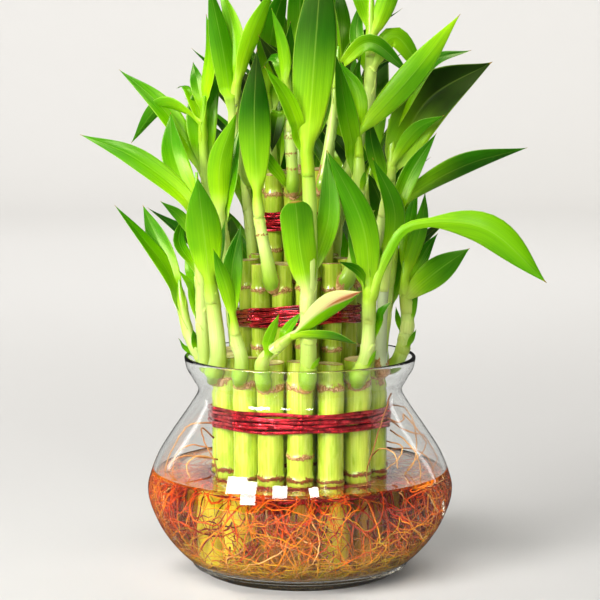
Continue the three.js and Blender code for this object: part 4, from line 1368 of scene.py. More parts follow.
# %% Stem material
stem_kit = Kit("shoot stem")
fibre, patch = add_streaks(stem_kit, 1.6, 0.04, 0.2)
stem_colour = add_shoot_green(stem_kit, stem_kit.value_of("growth"), fibre)
stem_colour = stem_kit.blend(stem_kit.value_of("pale"), stem_colour, screen(196, 210, 160))
ring_rough = stem_kit.times(stem_kit.minus(stem_kit.flecks(1.0, 5), 0.52), 1.3)
ring = stem_kit.plus(stem_kit.value_of("scar"), ring_rough)
ring_mask = stem_kit.mask(ring, 0.36, 0.56)
ring_colour = stem_kit.ramp(ring, [(0.4, screen(190, 184, 90)), (0.6, screen(166, 120, 62)),
                                   (0.8, screen(186, 128, 84)), (1.0, screen(220, 178, 128))])
stem_colour = stem_kit.blend(ring_mask, stem_colour, ring_colour)
stem_kit.paint(stem_colour, stem_kit.plus(stem_kit.times(patch, 0.3), 0.2))
stem_kit.bump(fibre, 0.2, 0.15)
stem_kit.set(Coat_Weight=0.8, Coat_Roughness=0.2, Specular_Tint=(1, 1, 0.7, 1))
STEM_SKIN = stem_kit.material
print("stem material nodes:", len(stem_kit.tree.nodes))

# %% [markdown]
# The stems
#
# A shoot's stem starts as a round bulb on its cane and thins as it rises. A bevelled curve would be
# smooth all along, so the tube is built ring by ring on the solid's own line, with a swell at the
# bulb and a small step at each ring that a leaf left.

# %% Along a stem
STEM_SIDES = 14
RING_CLEAR = 8
BULB_LENGTH = 13


def radius_on_stem(stalk, shares):
    """The stem's radius at each share of its line, eased between the rows it was given."""
    knots = np.linspace(0, 1, len(stalk.stem_radii))
    radii = np.array(stalk.stem_radii, float)
    radii[-1] = 0.7
    return np.interp(shares, knots, radii)


def find_crossing(stalk):
    """How far along its line a stem comes out of its cane."""
    far = np.linspace(0, 14, 57)
    centres = stalk.stem.at(stalk.stem.share_of(far))
    off_axis = np.linalg.norm(centres[:, :2] - stalk.middle[:2], axis=1)
    return float(far[np.argmax(off_axis - stalk.tier.radius * ROUND_SHARE > -0.2)])


def growth_at(stalk, shares):
    """0 on the bulb, 0.24 where the stem is clear of it, 1 at the stem's tip."""
    gone = stalk.stem.gone_at(shares) - stalk.crossed
    rest = stalk.stem.length - stalk.crossed - BULB_LENGTH
    return 0.24 * np.clip(gone / BULB_LENGTH, 0, 1) + 0.76 * np.clip((gone - BULB_LENGTH) / rest, 0, 1)


print("the first stem is", round(SHOOTING[0].stem.length), "mm long")

# %% Scars on a stem
SEAM_WIDTH = 2.4
SCABBY_STEMS = {"outer_stalk_08": 16, "middle_stalk_04": 8}
NODED_STEMS = {
    "inner_stalk_02": [216, 223.5, 232.5, 241],
    "middle_stalk_02": [181],
    "outer_stalk_05": [128],
}
stem_rng = np.random.default_rng(23)


def seam_with_cane(stalk, corners, far):
    """1 on the line where a stem breaks out of its cane, for each ring and side of the stem."""
    off_axis = np.linalg.norm(corners[:, :2] - stalk.middle[:2], axis=1).reshape(len(far), STEM_SIDES)
    off_skin = off_axis - stalk.tier.radius * ROUND_SHARE
    seam = 1.1 * np.clip(1 - np.abs(off_skin - 0.5) / SEAM_WIDTH, 0, 1)
    return seam * (far < stalk.crossed + BULB_LENGTH)[:, None]


def stem_relief(stalk, far, radii):
    """The radius and the scar of each row of a stem, with its leaf rings, its bulb and its nodes."""
    scar = np.zeros(len(far))
    start = RING_CLEAR + 2
    while start < 0.6 * stalk.stem.length:
        near = np.exp(-((far - start) / 1.2) ** 2)
        scar = np.maximum(scar, near * stem_rng.uniform(0.1, 0.3))
        radii = radii + 0.1 * near
        start += stem_rng.uniform(8, 18)
    collar = np.clip(1 - np.abs(far - stalk.crossed - 0.4) / 2.4, 0, 1)
    scar = np.maximum(scar, collar)
    radii = radii * (0.62 + 0.38 * smooth_step(far / (stalk.crossed + 6)))
    radii = radii + 0.3 * collar + 0.3 * np.exp(-((far - stalk.crossed - 4) / 2.5) ** 2)
    for height in NODED_STEMS.get(stalk.name, []):
        node = stalk.stem.gone_at(stalk.stem.share_at(height, seen_height))
        near = np.exp(-((far - node) / 1.3) ** 2)
        scar = np.maximum(scar, 0.66 * near)
        radii = radii + 0.3 * near
    return radii, scar


def scab(stalk, far, turn):
    """How much of a stem's foot a dry scab covers, up to a ragged edge."""
    if stalk.name not in SCABBY_STEMS:
        return 0
    edge = SCABBY_STEMS[stalk.name] + 2.4 * np.sin(2 * turn + 1) + 1.6 * np.sin(5 * turn)
    return 0.9 * smooth_step((edge[None, :] - far[:, None]) / 5)


print("stems with nodes of their own:", len(NODED_STEMS))

# %% Stems
STEM_STEP = 2.2
NODED_STEP = 1.3
PALE_STEMS = ("outer_stalk_08",)


def stem_shell(stalk):
    stalk.crossed = find_crossing(stalk)
    length = stalk.stem.length
    step = NODED_STEP if stalk.name in NODED_STEMS else STEM_STEP
    rest = np.arange(RING_CLEAR + 3, length, step)
    far = np.concatenate([np.linspace(0, RING_CLEAR + 2, 16), rest, [length]])
    shares = stalk.stem.share_of(far)
    radii, scar = stem_relief(stalk, far, radius_on_stem(stalk, shares))
    corners, faces = tube(stalk.stem.at(shares), stalk.stem.direction(shares), radii, STEM_SIDES)
    turn = np.arange(STEM_SIDES) * 2 * math.pi / STEM_SIDES
    scar = np.maximum(scar[:, None], scab(stalk, far, turn))
    scar = np.maximum(scar, seam_with_cane(stalk, corners, far))
    grain = np.stack([np.outer(radii, np.cos(turn)), np.outer(radii, np.sin(turn)),
                      np.repeat(far[:, None], STEM_SIDES, axis=1)], axis=-1).reshape(-1, 3)
    shell = Shell("grain", "growth", "scar", "pale")
    shell.add(corners, faces, grain=grain + 60 * stem_rng.uniform(-1, 1, 3),
              growth=np.repeat(growth_at(stalk, shares), STEM_SIDES), scar=scar.ravel(),
              pale=float(stalk.name in PALE_STEMS))
    return shell


for stalk in SHOOTING:
    make_piece(f"{stalk.name}_stem", stem_shell(stalk), STEM_SKIN, [stalk.name])
print("stems:", len(SHOOTING))

# %% [markdown]
# Leaf skin
#
# A lucky bamboo leaf wraps the stem in the stem's own pale green, turns lime and then full glossy
# green in its blade. Fine veins run side by side with a faint midrib among them, the margin is thin
# and light, and the very tip dries brown. The upper face is glossier than the under one, and an old
# dark leaf is duller. The material reads where it is on the leaf: u across, v along, and a tone that
# says how dark the leaf has grown.

# %% Leaf material: greens
leaf_kit = Kit("leaf skin")
fibre, patch = add_streaks(leaf_kit, 2.2, 0.012, 0.08)
side_share = leaf_kit.value_of("leaf_u")
leaf_u = leaf_kit.math("ABSOLUTE", side_share)
leaf_v = leaf_kit.value_of("leaf_v")
tone = leaf_kit.value_of("tone")
grown_edge = leaf_kit.plus(leaf_v, leaf_kit.times(patch, 0.3))
young = leaf_kit.ramp(leaf_v, [(0.0, screen(172, 218, 20)), (0.3, screen(146, 206, 4)),
                               (1.0, screen(126, 192, 0))])
old = leaf_kit.ramp(tone, [(0.0, screen(146, 206, 4)), (0.2, screen(118, 184, 0)),
                           (0.4, screen(70, 146, 0)), (0.7, screen(28, 96, 0)),
                           (1.0, screen(16, 46, 0))])
leaf_colour = leaf_kit.blend(leaf_kit.mask(grown_edge, 0.2, 0.8), young, old)
veins = leaf_kit.ramp(fibre, [(0.3, (0.76, 0.84, 0.6, 1)), (0.5, (1, 1, 1, 1)),
                              (0.7, (1.2, 1.12, 1.2, 1))])
leaf_colour = leaf_kit.blend(1.0, leaf_colour, veins, "MULTIPLY")
clouds = leaf_kit.ramp(patch, [(0.35, (0.56, 0.74, 0.5, 1)), (0.65, (1.16, 1.08, 1.0, 1))])
leaf_colour = leaf_kit.blend(1.0, leaf_colour, clouds, "MULTIPLY")
wrap = leaf_kit.minus(1.0, leaf_kit.mask(leaf_v, 0.0, 0.24))
shoot_colour = add_shoot_green(leaf_kit, leaf_kit.value_of("growth"), fibre)
leaf_colour = leaf_kit.blend(wrap, leaf_colour, shoot_colour)
print("nodes for the greens:", len(leaf_kit.tree.nodes))

# %% Leaf material: dried parts
dry = leaf_kit.value_of("dry")
pale_edge = leaf_kit.plus(side_share, leaf_kit.times(leaf_v, 0.4))
dry_side = leaf_kit.times(leaf_kit.times(dry, leaf_kit.mask(pale_edge, -0.1, 0.4)), 0.8)
leaf_colour = leaf_kit.blend(dry_side, leaf_colour, screen(222, 212, 150))
streak = leaf_kit.minus(leaf_kit.plus(leaf_v, leaf_kit.times(fibre, 0.8)), leaf_u)
dry_streak = leaf_kit.times(dry, leaf_kit.mask(streak, 0.6, 0.9))
dry_colour = leaf_kit.ramp(streak, [(0.7, screen(226, 178, 136)), (1.0, screen(170, 88, 56))])
leaf_colour = leaf_kit.blend(dry_streak, leaf_colour, dry_colour)
print("nodes with the dried parts:", len(leaf_kit.tree.nodes))

# %% Leaf material: lines, edges and finish
midrib = leaf_kit.minus(1.0, leaf_kit.mask(leaf_u, 0.01, 0.06))
leaf_colour = leaf_kit.blend(leaf_kit.times(midrib, 0.14), leaf_colour, screen(196, 230, 90))
margin = leaf_kit.mask(leaf_u, 0.94, 0.99)
leaf_colour = leaf_kit.blend(leaf_kit.times(margin, 0.35), leaf_colour, screen(196, 226, 90))
tip_edge = leaf_kit.plus(leaf_v, leaf_kit.times(patch, 0.03))
tip = leaf_kit.times(leaf_kit.mask(tip_edge, 0.985, 1.005), 0.85)
leaf_colour = leaf_kit.blend(tip, leaf_colour, screen(168, 118, 50))
face_rough = leaf_kit.minus(0.32, leaf_kit.times(leaf_kit.value_of("upper"), 0.14))
old_rough = leaf_kit.times(leaf_kit.mask(tone, 0.75, 1.0), 0.36)
leaf_rough = leaf_kit.plus(leaf_kit.times(fibre, 0.24), leaf_kit.plus(face_rough, old_rough))
leaf_kit.paint(leaf_colour, leaf_rough)
leaf_kit.bump(leaf_kit.plus(fibre, leaf_kit.times(midrib, -0.5)), 0.3, 0.16)
leaf_kit.set(Subsurface_Weight=0.2, Subsurface_Scale=0.002, Specular_IOR_Level=0.45,
             Specular_Tint=(0.85, 1.0, 0.3, 1), Coat_Weight=0.07, Coat_Roughness=0.2,
             Subsurface_Radius=(0.5, 1.0, 0.05))
LEAF_SKIN = leaf_kit.material
print("leaf material nodes:", len(leaf_kit.tree.nodes))

# %% [markdown]
# The shape of a leaf
#
# A flat card with a leaf picture is the usual stand-in, and it fails from the side. Here a leaf is a
# closed thin shell. Below the blade it is a sheath that wraps the stem as a half tube. It narrows,
# opens into the blade with a channel along the midrib, and draws out to a long tip. One number does
# all of that: how far the cross-section bends, from a wide arc round the stem to a shallow channel.

# %% Leaf outline
MOST_STATIONS = 34
LEAF_COLUMNS = np.array([-1, -0.86, -0.66, -0.44, -0.22, -0.06, 0, 0.06, 0.22, 0.44, 0.66, 0.86, 1])
WIDEST_AT = 0.46


def leaf_outline(share, blunt):
    """How wide a blade is at a share of its length, as a share of its greatest width."""
    rise = 0.3 + 0.7 * np.sin(np.minimum(share / WIDEST_AT, 1) * math.pi / 2)
    if blunt:
        return rise * np.sqrt(np.clip(1 - np.maximum(share - 0.8, 0) ** 2 / 0.04, 0.04, 1))
    fall = np.where(share > WIDEST_AT, np.cos((share - WIDEST_AT) / (1 - WIDEST_AT) * math.pi / 2), 1.0)
    return rise * np.maximum(fall, 0) ** 1.15


def leaf_stations(length):
    """Shares along the blade, close together at the base and at the tip."""
    count = int(np.clip(length / 2.2, 12, MOST_STATIONS))
    even = np.linspace(0, 1, count)
    return 0.5 * even + 0.5 * (1 - np.cos(even * math.pi)) / 2


print("stations on a blade 60 mm long:", len(leaf_stations(60)))

# %% Rows of a leaf
BLADE_BEND = 0.36
BASE_BEND = 1.7
SHEATH_LENGTH = 12.0
SHEATH_LOWEST = 9
SHEATH_DOWN = np.array([1.0, 0.82, 0.58, 0.34, 0.14])
SHEATH_BENDS = np.array([2.7, 2.6, 2.4, 2.1, 1.85])
SHEATH_PROUD = np.array([-0.3, 0.1, 0.26, 0.3, 0.3])


def leaf_rows(stalk, share, line, width, stalked, blunt):
    """What each row of a leaf needs: first the sheath's rows, then the blade's."""
    length = line.length
    stations = leaf_stations(length)
    down = SHEATH_DOWN * min(0.16 * length + 2, SHEATH_LENGTH)
    shares = stalk.stem.share_of(np.maximum(stalk.stem.gone_at(share) - down, SHEATH_LOWEST))
    blade_shares = line.share_of(stations * (length - 0.4))
    centres = np.vstack([stalk.stem.at(shares), line.at(blade_shares)])
    ways = np.vstack([stalk.stem.direction(shares), line.direction(blade_shares)])
    reach = radius_on_stem(stalk, shares) + SHEATH_PROUD
    base_reach = float(radius_on_stem(stalk, share)) + 0.3
    gone = stations * length
    opening = smooth_step(gone / max(0.15 * length, 5.0))
    grown = np.clip((stations - stalked) / (1 - stalked), 0, 1)
    blade = np.maximum(0.5 * width * leaf_outline(grown, blunt), 0.1)
    spread = smooth_step(gone / max(0.1 * length, 3.0))
    half = np.concatenate([reach * SHEATH_BENDS, base_reach * BASE_BEND * (1 - spread) + blade * spread])
    bend = np.concatenate([SHEATH_BENDS, BASE_BEND * (1 - opening) + BLADE_BEND * opening])
    drop = np.concatenate([reach, base_reach * (1 - opening)])
    gone = np.concatenate([-down, gone])
    opening = np.concatenate([np.zeros(len(down)), opening])
    growth = growth_at(stalk, np.concatenate([shares, np.full(len(stations), share)]))
    return centres, ways, bend, half, drop, gone / length, opening, growth


def cleared_drop(stalk, centres, up, drop):
    """The drop of each row, made larger where the leaf would cut into its own stem."""
    stem = stalk.stem
    heights = stem.at(stem.table)[:, 2]
    shares = np.interp(centres[:, 2], heights, stem.table)
    off = centres - stem.at(shares)
    below = -(off * up).sum(axis=1)
    beside = np.linalg.norm(off + below[:, None] * up, axis=1)
    reach = radius_on_stem(stalk, shares) + 0.4
    needed = (reach - below) * smooth_step(2 - beside / reach)
    needed *= smooth_step((heights[-1] + 3 - centres[:, 2]) / 3)
    return np.where(below > -0.6 * reach, np.maximum(drop, needed), drop)


def leaf_sides(ways, across):
    """The directions across a leaf and up from it at each row, with its upper face upwards."""
    side = np.array([unit(across - way * across.dot(way)) for way in ways])
    up = np.cross(side, ways)
    middle = len(SHEATH_DOWN) + 2
    lifted = np.array([0, 0, 1.0]) - ways[middle] * ways[middle][2]
    facing = -1 if up[middle].dot(lifted) < 0 else 1
    return facing * side, facing * up


print("rows on a sheath:", len(SHEATH_DOWN))

# %% Leaf shell
LEAF_THICKNESS = 0.5
THINNEST = 0.08
leaf_rng = np.random.default_rng(11)


def leaf_section(gone, bend, half, drop, opening):
    """The turn, the way out and the lift of each corner, with a fold, a wave and a twist drawn."""
    fold = leaf_rng.uniform(0.02, 0.16)
    phase = leaf_rng.uniform(0, 6.28)
    twist_size = leaf_rng.uniform(-0.2, 0.2)
    columns = LEAF_COLUMNS[None, :]
    bend = bend * (1 + 0.3 * opening * np.sin(3 * gone + phase))
    turn = columns * bend[:, None]
    round_radius = (half / bend)[:, None]
    out = round_radius * np.sin(turn)
    lift = round_radius * (1 - np.cos(turn)) - drop[:, None]
    wave = 0.07 * np.sin(9 * gone[:, None] + phase + columns * 1.6) * columns ** 2
    lift = lift + half[:, None] * opening[:, None] * (wave + fold * np.abs(columns))
    twist = (twist_size * opening * np.clip(gone, 0, 1))[:, None]
    twisted_out = out * np.cos(twist) - lift * np.sin(twist)
    twisted_lift = out * np.sin(twist) + lift * np.cos(twist)
    return turn, twisted_out, twisted_lift


def leaf_faces(rows, wide):
    """Faces round a leaf, whose rows run across below and back above, and over its two ends."""
    faces = band(rows, 2 * wide)
    for i in range(wide - 1):
        for first in (0, (rows - 1) * 2 * wide):
            back = first + 2 * wide - 1 - i
            faces.append((first + i, first + i + 1, back - 1, back))
    return faces


def add_leaf(shell, stalk, share, line, width, across, tone, stalked=0, look=""):
    """One leaf: a sheath on the stem below share, then a blade along line."""
    rows = leaf_rows(stalk, share, line, width, stalked, look == "blunt")
    centres, ways, bend, half, drop, gone, opening, growth = rows
    side, up = leaf_sides(ways, across)
    drop = cleared_drop(stalk, centres, up, drop)
    turn, out, lift = leaf_section(gone, bend, half, drop, opening)
    under = centres[:, None] + out[..., None] * side[:, None] + lift[..., None] * up[:, None]
    normal = np.cos(turn)[..., None] * up[:, None] - np.sin(turn)[..., None] * side[:, None]
    thick = LEAF_THICKNESS * (1 - 0.7 * LEAF_COLUMNS ** 4) * np.minimum(half / 2.0, 1)[:, None]
    over = under + np.maximum(thick, THINNEST)[..., None] * normal
    ring = np.concatenate([under, over[:, ::-1]], axis=1)
    rows, wide = under.shape[:2]
    leaf_u = np.tile(np.concatenate([LEAF_COLUMNS, LEAF_COLUMNS[::-1]]), rows)
    upper = np.tile(np.repeat([0.0, 1.0], wide), rows)
    along = np.repeat(gone, 2 * wide)
    grain = np.column_stack([leaf_u * np.repeat(half, 2 * wide), np.zeros(len(along)),
                             along * line.length]) + 80 * leaf_rng.uniform(-1, 1, 3)
    ends = tone if isinstance(tone, list) else [tone - 0.1, tone + 0.2]
    shell.add(ring, leaf_faces(rows, wide), grain=grain, leaf_u=leaf_u, leaf_v=along, upper=upper,
              tone=np.interp(along, [0.2, 0.9], ends), growth=np.repeat(growth, 2 * wide),
              dry=float(look == "dry"))


print("corners to a row:", 2 * len(LEAF_COLUMNS), "rows at most:", MOST_STATIONS + len(SHEATH_DOWN))

# %% [markdown]
# Which place each leaf took
#
# The solids' leaves were laid clear of one another: each tried a few depths or turns, in order, and
# took the first that was free. Trying them all again would be slow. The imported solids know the
# answer, so each fine leaf takes the candidate whose midline lies on its stalk's solid.

# %% Choosing a candidate
FRONT_SHIFTS = [0, 6, -6, 12, -12, 18, -18, 25, -25, 33, -33, 42, -42, 52, -52, 63]
BACK_TURNS = [0, 20, -20, 40, -40, 60, -60, 80, -80]
BACK_TILTS = [0, 14, -14]
TEST_SHARES = np.linspace(0.35, 0.97, 8)
FARTHEST = 1.3


def solid_tree(name):
    """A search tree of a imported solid's faces, in metres."""
    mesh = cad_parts[name].data
    corners = [tuple(vertex.co) for vertex in mesh.vertices]
    return BVHTree.FromPolygons(corners, [tuple(face.vertices) for face in mesh.polygons])


def closest_line(tree, lines):
    """The line that lies nearest the solid, and how far it is from it on average, in mm."""
    def far(line):
        spots = line.at(TEST_SHARES) * MM
        return sum(tree.find_nearest(Vector(spot))[3] for spot in spots) / len(spots) / MM
    distances = [far(line) for line in lines]
    best = int(np.argmin(distances))
    return lines[best], distances[best]


def front_leaf_line(stem, share, row, shift):
    """A front leaf's midline from its place on the stem, for one shift of its tip's depth."""
    points, depth = row[1], row[3]
    base = stem.at(share)[0]
    places = [base]
    for i, (x, z) in enumerate(points):
        part = ((i + 1) / len(points)) ** 1.4
        places.append(seen_at(x, z, base[1] + (depth + shift) * part))
    if len(places) == 2:
        places.insert(1, 0.5 * (places[0] + places[1]))
    return Line(places)


def front_across(line, seen_width, width, flip):
    """The direction across a leaf, rolled so that it shows the width seen."""
    chord = unit(line.places[-1] - line.places[0])
    across = unit(np.cross(chord, np.array([0, 1.0, 0])))
    deep = np.cross(chord, across)
    roll = math.acos(min(seen_width / width, 1)) * flip
    return across * math.cos(roll) + deep * math.sin(roll)


print("candidates to a front leaf:", len(FRONT_SHIFTS))

# %% [markdown]
# The front leaves
#
# Each row of the list becomes one leaf. Its midrib passes the places seen, and it is rolled about its
# own length until it shows the width seen. The rolls go one way and the other in turn, because the
# leaves on a stem face different ways.

# %% Front leaves
LEAF_VALUES = ("grain", "leaf_u", "leaf_v", "tone", "upper", "growth", "dry")
# Draws for the back leaves' darker tones, which are painted shade.
back_shade_rng = np.random.default_rng(5)


def add_front_leaf(shell, stalk, tree, row, flip):
    """Adds a leaf of the list where its solid is. Returns whether one of its candidates lies there."""
    share = stalk.stem.share_at(row[0], seen_height)
    lines = [front_leaf_line(stalk.stem, share, row, shift) for shift in FRONT_SHIFTS]
    line, off = closest_line(tree, lines)
    if off > FARTHEST:
        return False
    chord = np.linalg.norm(line.places[-1] - line.places[0])
    width = max(row[2], min(0.13 * chord + 3, 15))
    across = front_across(line, row[2], width, flip)
    add_leaf(shell, stalk, share, line, width, across, *row[4:])
    return True


def add_bract(shell, stalk, row):
    """Adds a small scale leaf straight from its row, with no choice of depth."""
    share = stalk.stem.share_at(row[0], seen_height)
    line = front_leaf_line(stalk.stem, share, row, 0)
    across = front_across(line, row[2], row[2] + 1, 1)
    add_leaf(shell, stalk, share, line, row[2], across, row[4])


not_fitted = 0
for name, shoot in FRONT_SHOOTS.items():
    stalk = STALKS[name]
    tree = solid_tree(name)
    shell = Shell(*LEAF_VALUES)
    for number, row in enumerate(shoot["leaves"]):
        if not add_front_leaf(shell, stalk, tree, row, 1 if number % 2 == 0 else -1):
            not_fitted += 1
    for row in BRACTS.get(name, []):
        add_bract(shell, stalk, row)
    make_piece(f"{name}_leaves", shell, LEAF_SKIN, [name])
print("front leaves left out:", not_fitted)

# %% [markdown]
# The back leaves
#
# A leaf on the back follows the rule: a little higher up the stem than the last one, and turned from
# it by the golden angle, as growing shoots turn their leaves to the light. Their darker greens are
# painted shade, which deepens the inside of the plant.

# %% The line of a back leaf


def back_leaf_line(base, azimuth, tilt, length, arch):
    """A back leaf's midline: out from the stem, rising by a tilt in degrees, with an arch."""
    way = heading(azimuth)

    def point(share, slope):
        spot = base + way * share * length * math.cos(math.radians(slope))
        spot[2] = base[2] + share * length * math.sin(math.radians(slope))
        return spot
    return Line([base, point(0.52, tilt + arch), point(1, tilt)])


def back_across(line, azimuth, roll):
    """The direction across a back leaf, rolled from level by an angle in degrees."""
    level = heading(azimuth + 90)
    chord = unit(line.places[-1] - line.places[0])
    up = np.cross(level, chord)
    return level * math.cos(math.radians(roll)) + up * math.sin(math.radians(roll))


print("candidates to a back leaf:", len(BACK_TURNS) * len(BACK_TILTS))

# %% Back leaves
not_fitted = 0
for name in BACK_STALKS:
    stalk = STALKS[name]
    tree = solid_tree(name)
    shell = Shell(*LEAF_VALUES)
    count = BACK_LEAVES[stalk.tier.name]
    for i in range(count):
        height = stalk.node + stalk.rise * (0.42 + 0.5 * i / (count - 1))
        share = stalk.stem.share_at(height, lambda place: place[2])
        base = stalk.stem.at(share)[0]
        azimuth = stalk.bulb + LEAF_TURN * i + 30 * (back_draws.one() - 0.5)
        tilt = 46 + 6 * i + 14 * (back_draws.one() - 0.5)
        length = back_draws.between(BACK_LEAF_LENGTH)
        width = back_draws.between(BACK_LEAF_WIDTH)
        arch = 6 + 12 * back_draws.one()
        roll = 50 * (back_draws.one() - 0.5)
        tries = [(azimuth + turn, tilt + more) for more in BACK_TILTS for turn in BACK_TURNS]
        lines = [back_leaf_line(base, way, slope, length, arch) for way, slope in tries]
        line, off = closest_line(tree, lines)
        if off > FARTHEST:
            not_fitted += 1
            continue
        across = back_across(line, tries[lines.index(line)][0], roll)
        # A dark tone from 0.35 to 0.9: painted shade for the leaves inside the plant.
        add_leaf(shell, stalk, share, line, width, across, back_shade_rng.uniform(0.35, 0.9))
    if shell.count:
        make_piece(f"{name}_leaves", shell, LEAF_SKIN, [name])
print("back leaves left out:", not_fitted)

# %% [markdown]
# The water
#
# The water fills the glass round the canes up to a flat surface, which climbs a little where it
# touches glass or cane. Its side reaches a hair into the glass wall, so that light goes from glass to
# water with no film of air between them, which would look like silver. The surface is a fine grid of
# rings, and each corner is lifted by a formula of its distance from the wall and from each cane.

# %% Water
WATER_TOP = 55.4
WATER_SIDES = 144
CLIMB = 1.1
CLIMB_LENGTH = 1.5
INTO_GLASS = 0.12
TOP_RINGS = 70

wall = moved_in(outside, GLASS_WALL - INTO_GLASS)
wet_wall = np.array([row for row in wall if GLASS_FLOOR + 2 < row[1] < WATER_TOP + 0.6])
edge_radius = float(np.interp(WATER_TOP + 0.9, wall[:, 1], wall[:, 0]))
floor_edge = wet_wall[0][0]
wet_floor = [(20, GLASS_FLOOR - 0.1), (40, GLASS_FLOOR - 0.1), (floor_edge - 5, GLASS_FLOOR + 0.1),
             (floor_edge - 1.5, GLASS_FLOOR + 0.9)]
side_profile = np.array([*wet_floor, *wet_wall, (edge_radius, WATER_TOP + CLIMB)])
side_rings = turned_corners(side_profile, WATER_SIDES)
top_radii = edge_radius * (1 - np.linspace(0.004, 0.985, TOP_RINGS) ** 1.2)
top_rings = turned_corners(np.column_stack([top_radii, np.full(TOP_RINGS, WATER_TOP)]), WATER_SIDES)


def climb(places):
    """How far the surface is lifted at each place."""
    spots = places[..., :2]
    off_wall = edge_radius - np.linalg.norm(spots, axis=-1)
    lift = CLIMB * np.exp(-off_wall / CLIMB_LENGTH)
    for stalk in STALKS.values():
        if stalk.tier is OUTER:
            off = np.linalg.norm(spots - stalk.middle[:2], axis=-1) - stalk.tier.radius * ROUND_SHARE
            lift = lift + 0.8 * CLIMB * np.exp(-np.maximum(off, 0) / CLIMB_LENGTH)
    return lift


top_rings[..., 2] += climb(top_rings)
water_shell = Shell()
water_rings = np.concatenate([side_rings, top_rings])
water_shell.add(water_rings, capped_band(len(water_rings), WATER_SIDES))
make_piece("water_body", water_shell, WATER, ["water"])
print("water", WATER_TOP - GLASS_FLOOR, "mm deep,", round(2 * edge_radius, 1), "mm across at the top")

# %% [markdown]
# Root skin
#
# Roots that live in water are deep orange near the surface and golden near the floor, with a few pale
# young ones. A tone on the corners picks the colour, which is cheaper than a material for each root.
# A second value darkens the roots deep among the canes, where little light reaches them.

# %% Root material
root_kit = Kit("fine roots")
fibre, patch = add_streaks(root_kit, 1.2, 0.2, 0.12)
root_colour = root_kit.ramp(root_kit.value_of("tone"), [
    (0.0, screen(204, 186, 10)), (0.18, screen(230, 156, 6)), (0.42, screen(226, 88, 2)),
    (0.62, screen(190, 34, 0)), (0.82, screen(84, 14, 2)), (0.92, screen(196, 122, 56)),
    (1.0, screen(244, 190, 124))])
root_shade = root_kit.ramp(patch, [(0.3, (0.55, 0.45, 0.35, 1)), (0.7, (1.25, 1.2, 1.0, 1))])
root_colour = root_kit.blend(1.0, root_colour, root_shade, "MULTIPLY")
root_deep = root_kit.blend(root_kit.value_of("deep"), root_colour, (0.34, 0.24, 0.2, 1), "MULTIPLY")
root_kit.paint(root_deep, root_kit.plus(root_kit.times(fibre, 0.4), 0.2))
root_kit.bump(fibre, 0.4, 0.1)
root_kit.set(Specular_IOR_Level=0.15)
ROOT_SKIN = root_kit.material
print("root material nodes:", len(root_kit.tree.nodes))

# %% [markdown]
# Roots in the water
#
# Hundreds of roots curl in the water. They could be hair, but hair isn't kept with a model, so each
# root is a thin tube. A root is a walk: it starts at a cane, keeps most of its direction at each step,
# is nudged by seeded noise, and is turned back by the glass, the canes, the surface and the floor.
# Side roots start on the walks of others.

# %% A walk in the water
ROOT_STEP = 3.0
KINK = 0.55
SPIN_KEPT = 0.78
SPIN_NEW = 0.6
SINK = np.array([0, 0, -0.05])
ROOT_FLOOR = GLASS_FLOOR + 0.9
ROOT_ROOF = 54.0
CANE_REACH = 47.5
WALL_CLEARANCE = 1.3
SLIDE_CLEARANCE = 1.9
SLIDE_EASE = 4
CANE_EASE = 3
root_rng = np.random.default_rng(97)


def wall_radius(heights):
    """The radius of the water's side at each height."""
    return np.interp(heights, wall[:, 1], wall[:, 0])


def slide(spot, way):
    """Takes away the part of a step that runs into glass, canes, surface or floor."""
    radius = math.hypot(spot[0], spot[1])
    out = np.array([spot[0], spot[1], 0]) / max(radius, 1)
    limit = wall_radius(spot[2]) - SLIDE_CLEARANCE
    outward = way.dot(out)
    if outward > 0:
        way = way - out * outward * np.clip((radius - limit + SLIDE_EASE) / SLIDE_EASE, 0, 1)
    else:
        way = way - out * outward * np.clip((CANE_REACH + CANE_EASE - radius) / CANE_EASE, 0, 1)
    if way[2] > 0:
        way[2] *= np.clip((ROOT_ROOF - spot[2]) / SLIDE_EASE, 0, 1)
    else:
        way[2] *= np.clip((spot[2] - ROOT_FLOOR) / SLIDE_EASE, 0, 1)
    return unit(way)


def kept_in_water(spot):
    """A place moved back inside the glass, and between the floor and the surface."""
    radius = math.hypot(spot[0], spot[1])
    limit = wall_radius(spot[2]) - WALL_CLEARANCE
    if radius > limit:
        spot[:2] *= limit / radius
    spot[2] = min(max(spot[2], ROOT_FLOOR), ROOT_ROOF)
    return spot


def walk(spot, way, steps, curl):
    """The places of one root, which curls and kinks as it grows and slides along what it meets."""
    spots = [np.array(spot, float)]
    spin = root_rng.normal(0, 1, 3)
    for step in range(steps):
        spin = SPIN_KEPT * spin + SPIN_NEW * root_rng.normal(0, 1, 3)
        way = unit(way + curl * np.cross(spin, way) + SINK)
        way = slide(spots[-1], way)
        spots.append(kept_in_water(spots[-1] + ROOT_STEP * way + KINK * root_rng.normal(0, 1, 3)))
    return np.array(spots)


print("the water's side at a height of 40 mm is", round(float(wall_radius(40)), 1), "mm out")

# %% A root as a tube
ROOT_VALUES = ("grain", "tone", "deep")


def tone_by_place(spots, radius):
    """Deep orange high up and close to the canes, golden near the floor, with a shift of its own."""
    high = np.clip((spots[:, 2] - 12) / 40, 0, 1)
    own = root_rng.normal(0, 0.1)
    inward = np.clip((70 - radius) / 18, 0, 1)
    return np.clip(0.1 + 0.3 * high + own + 0.36 * inward * high, 0, 0.72)


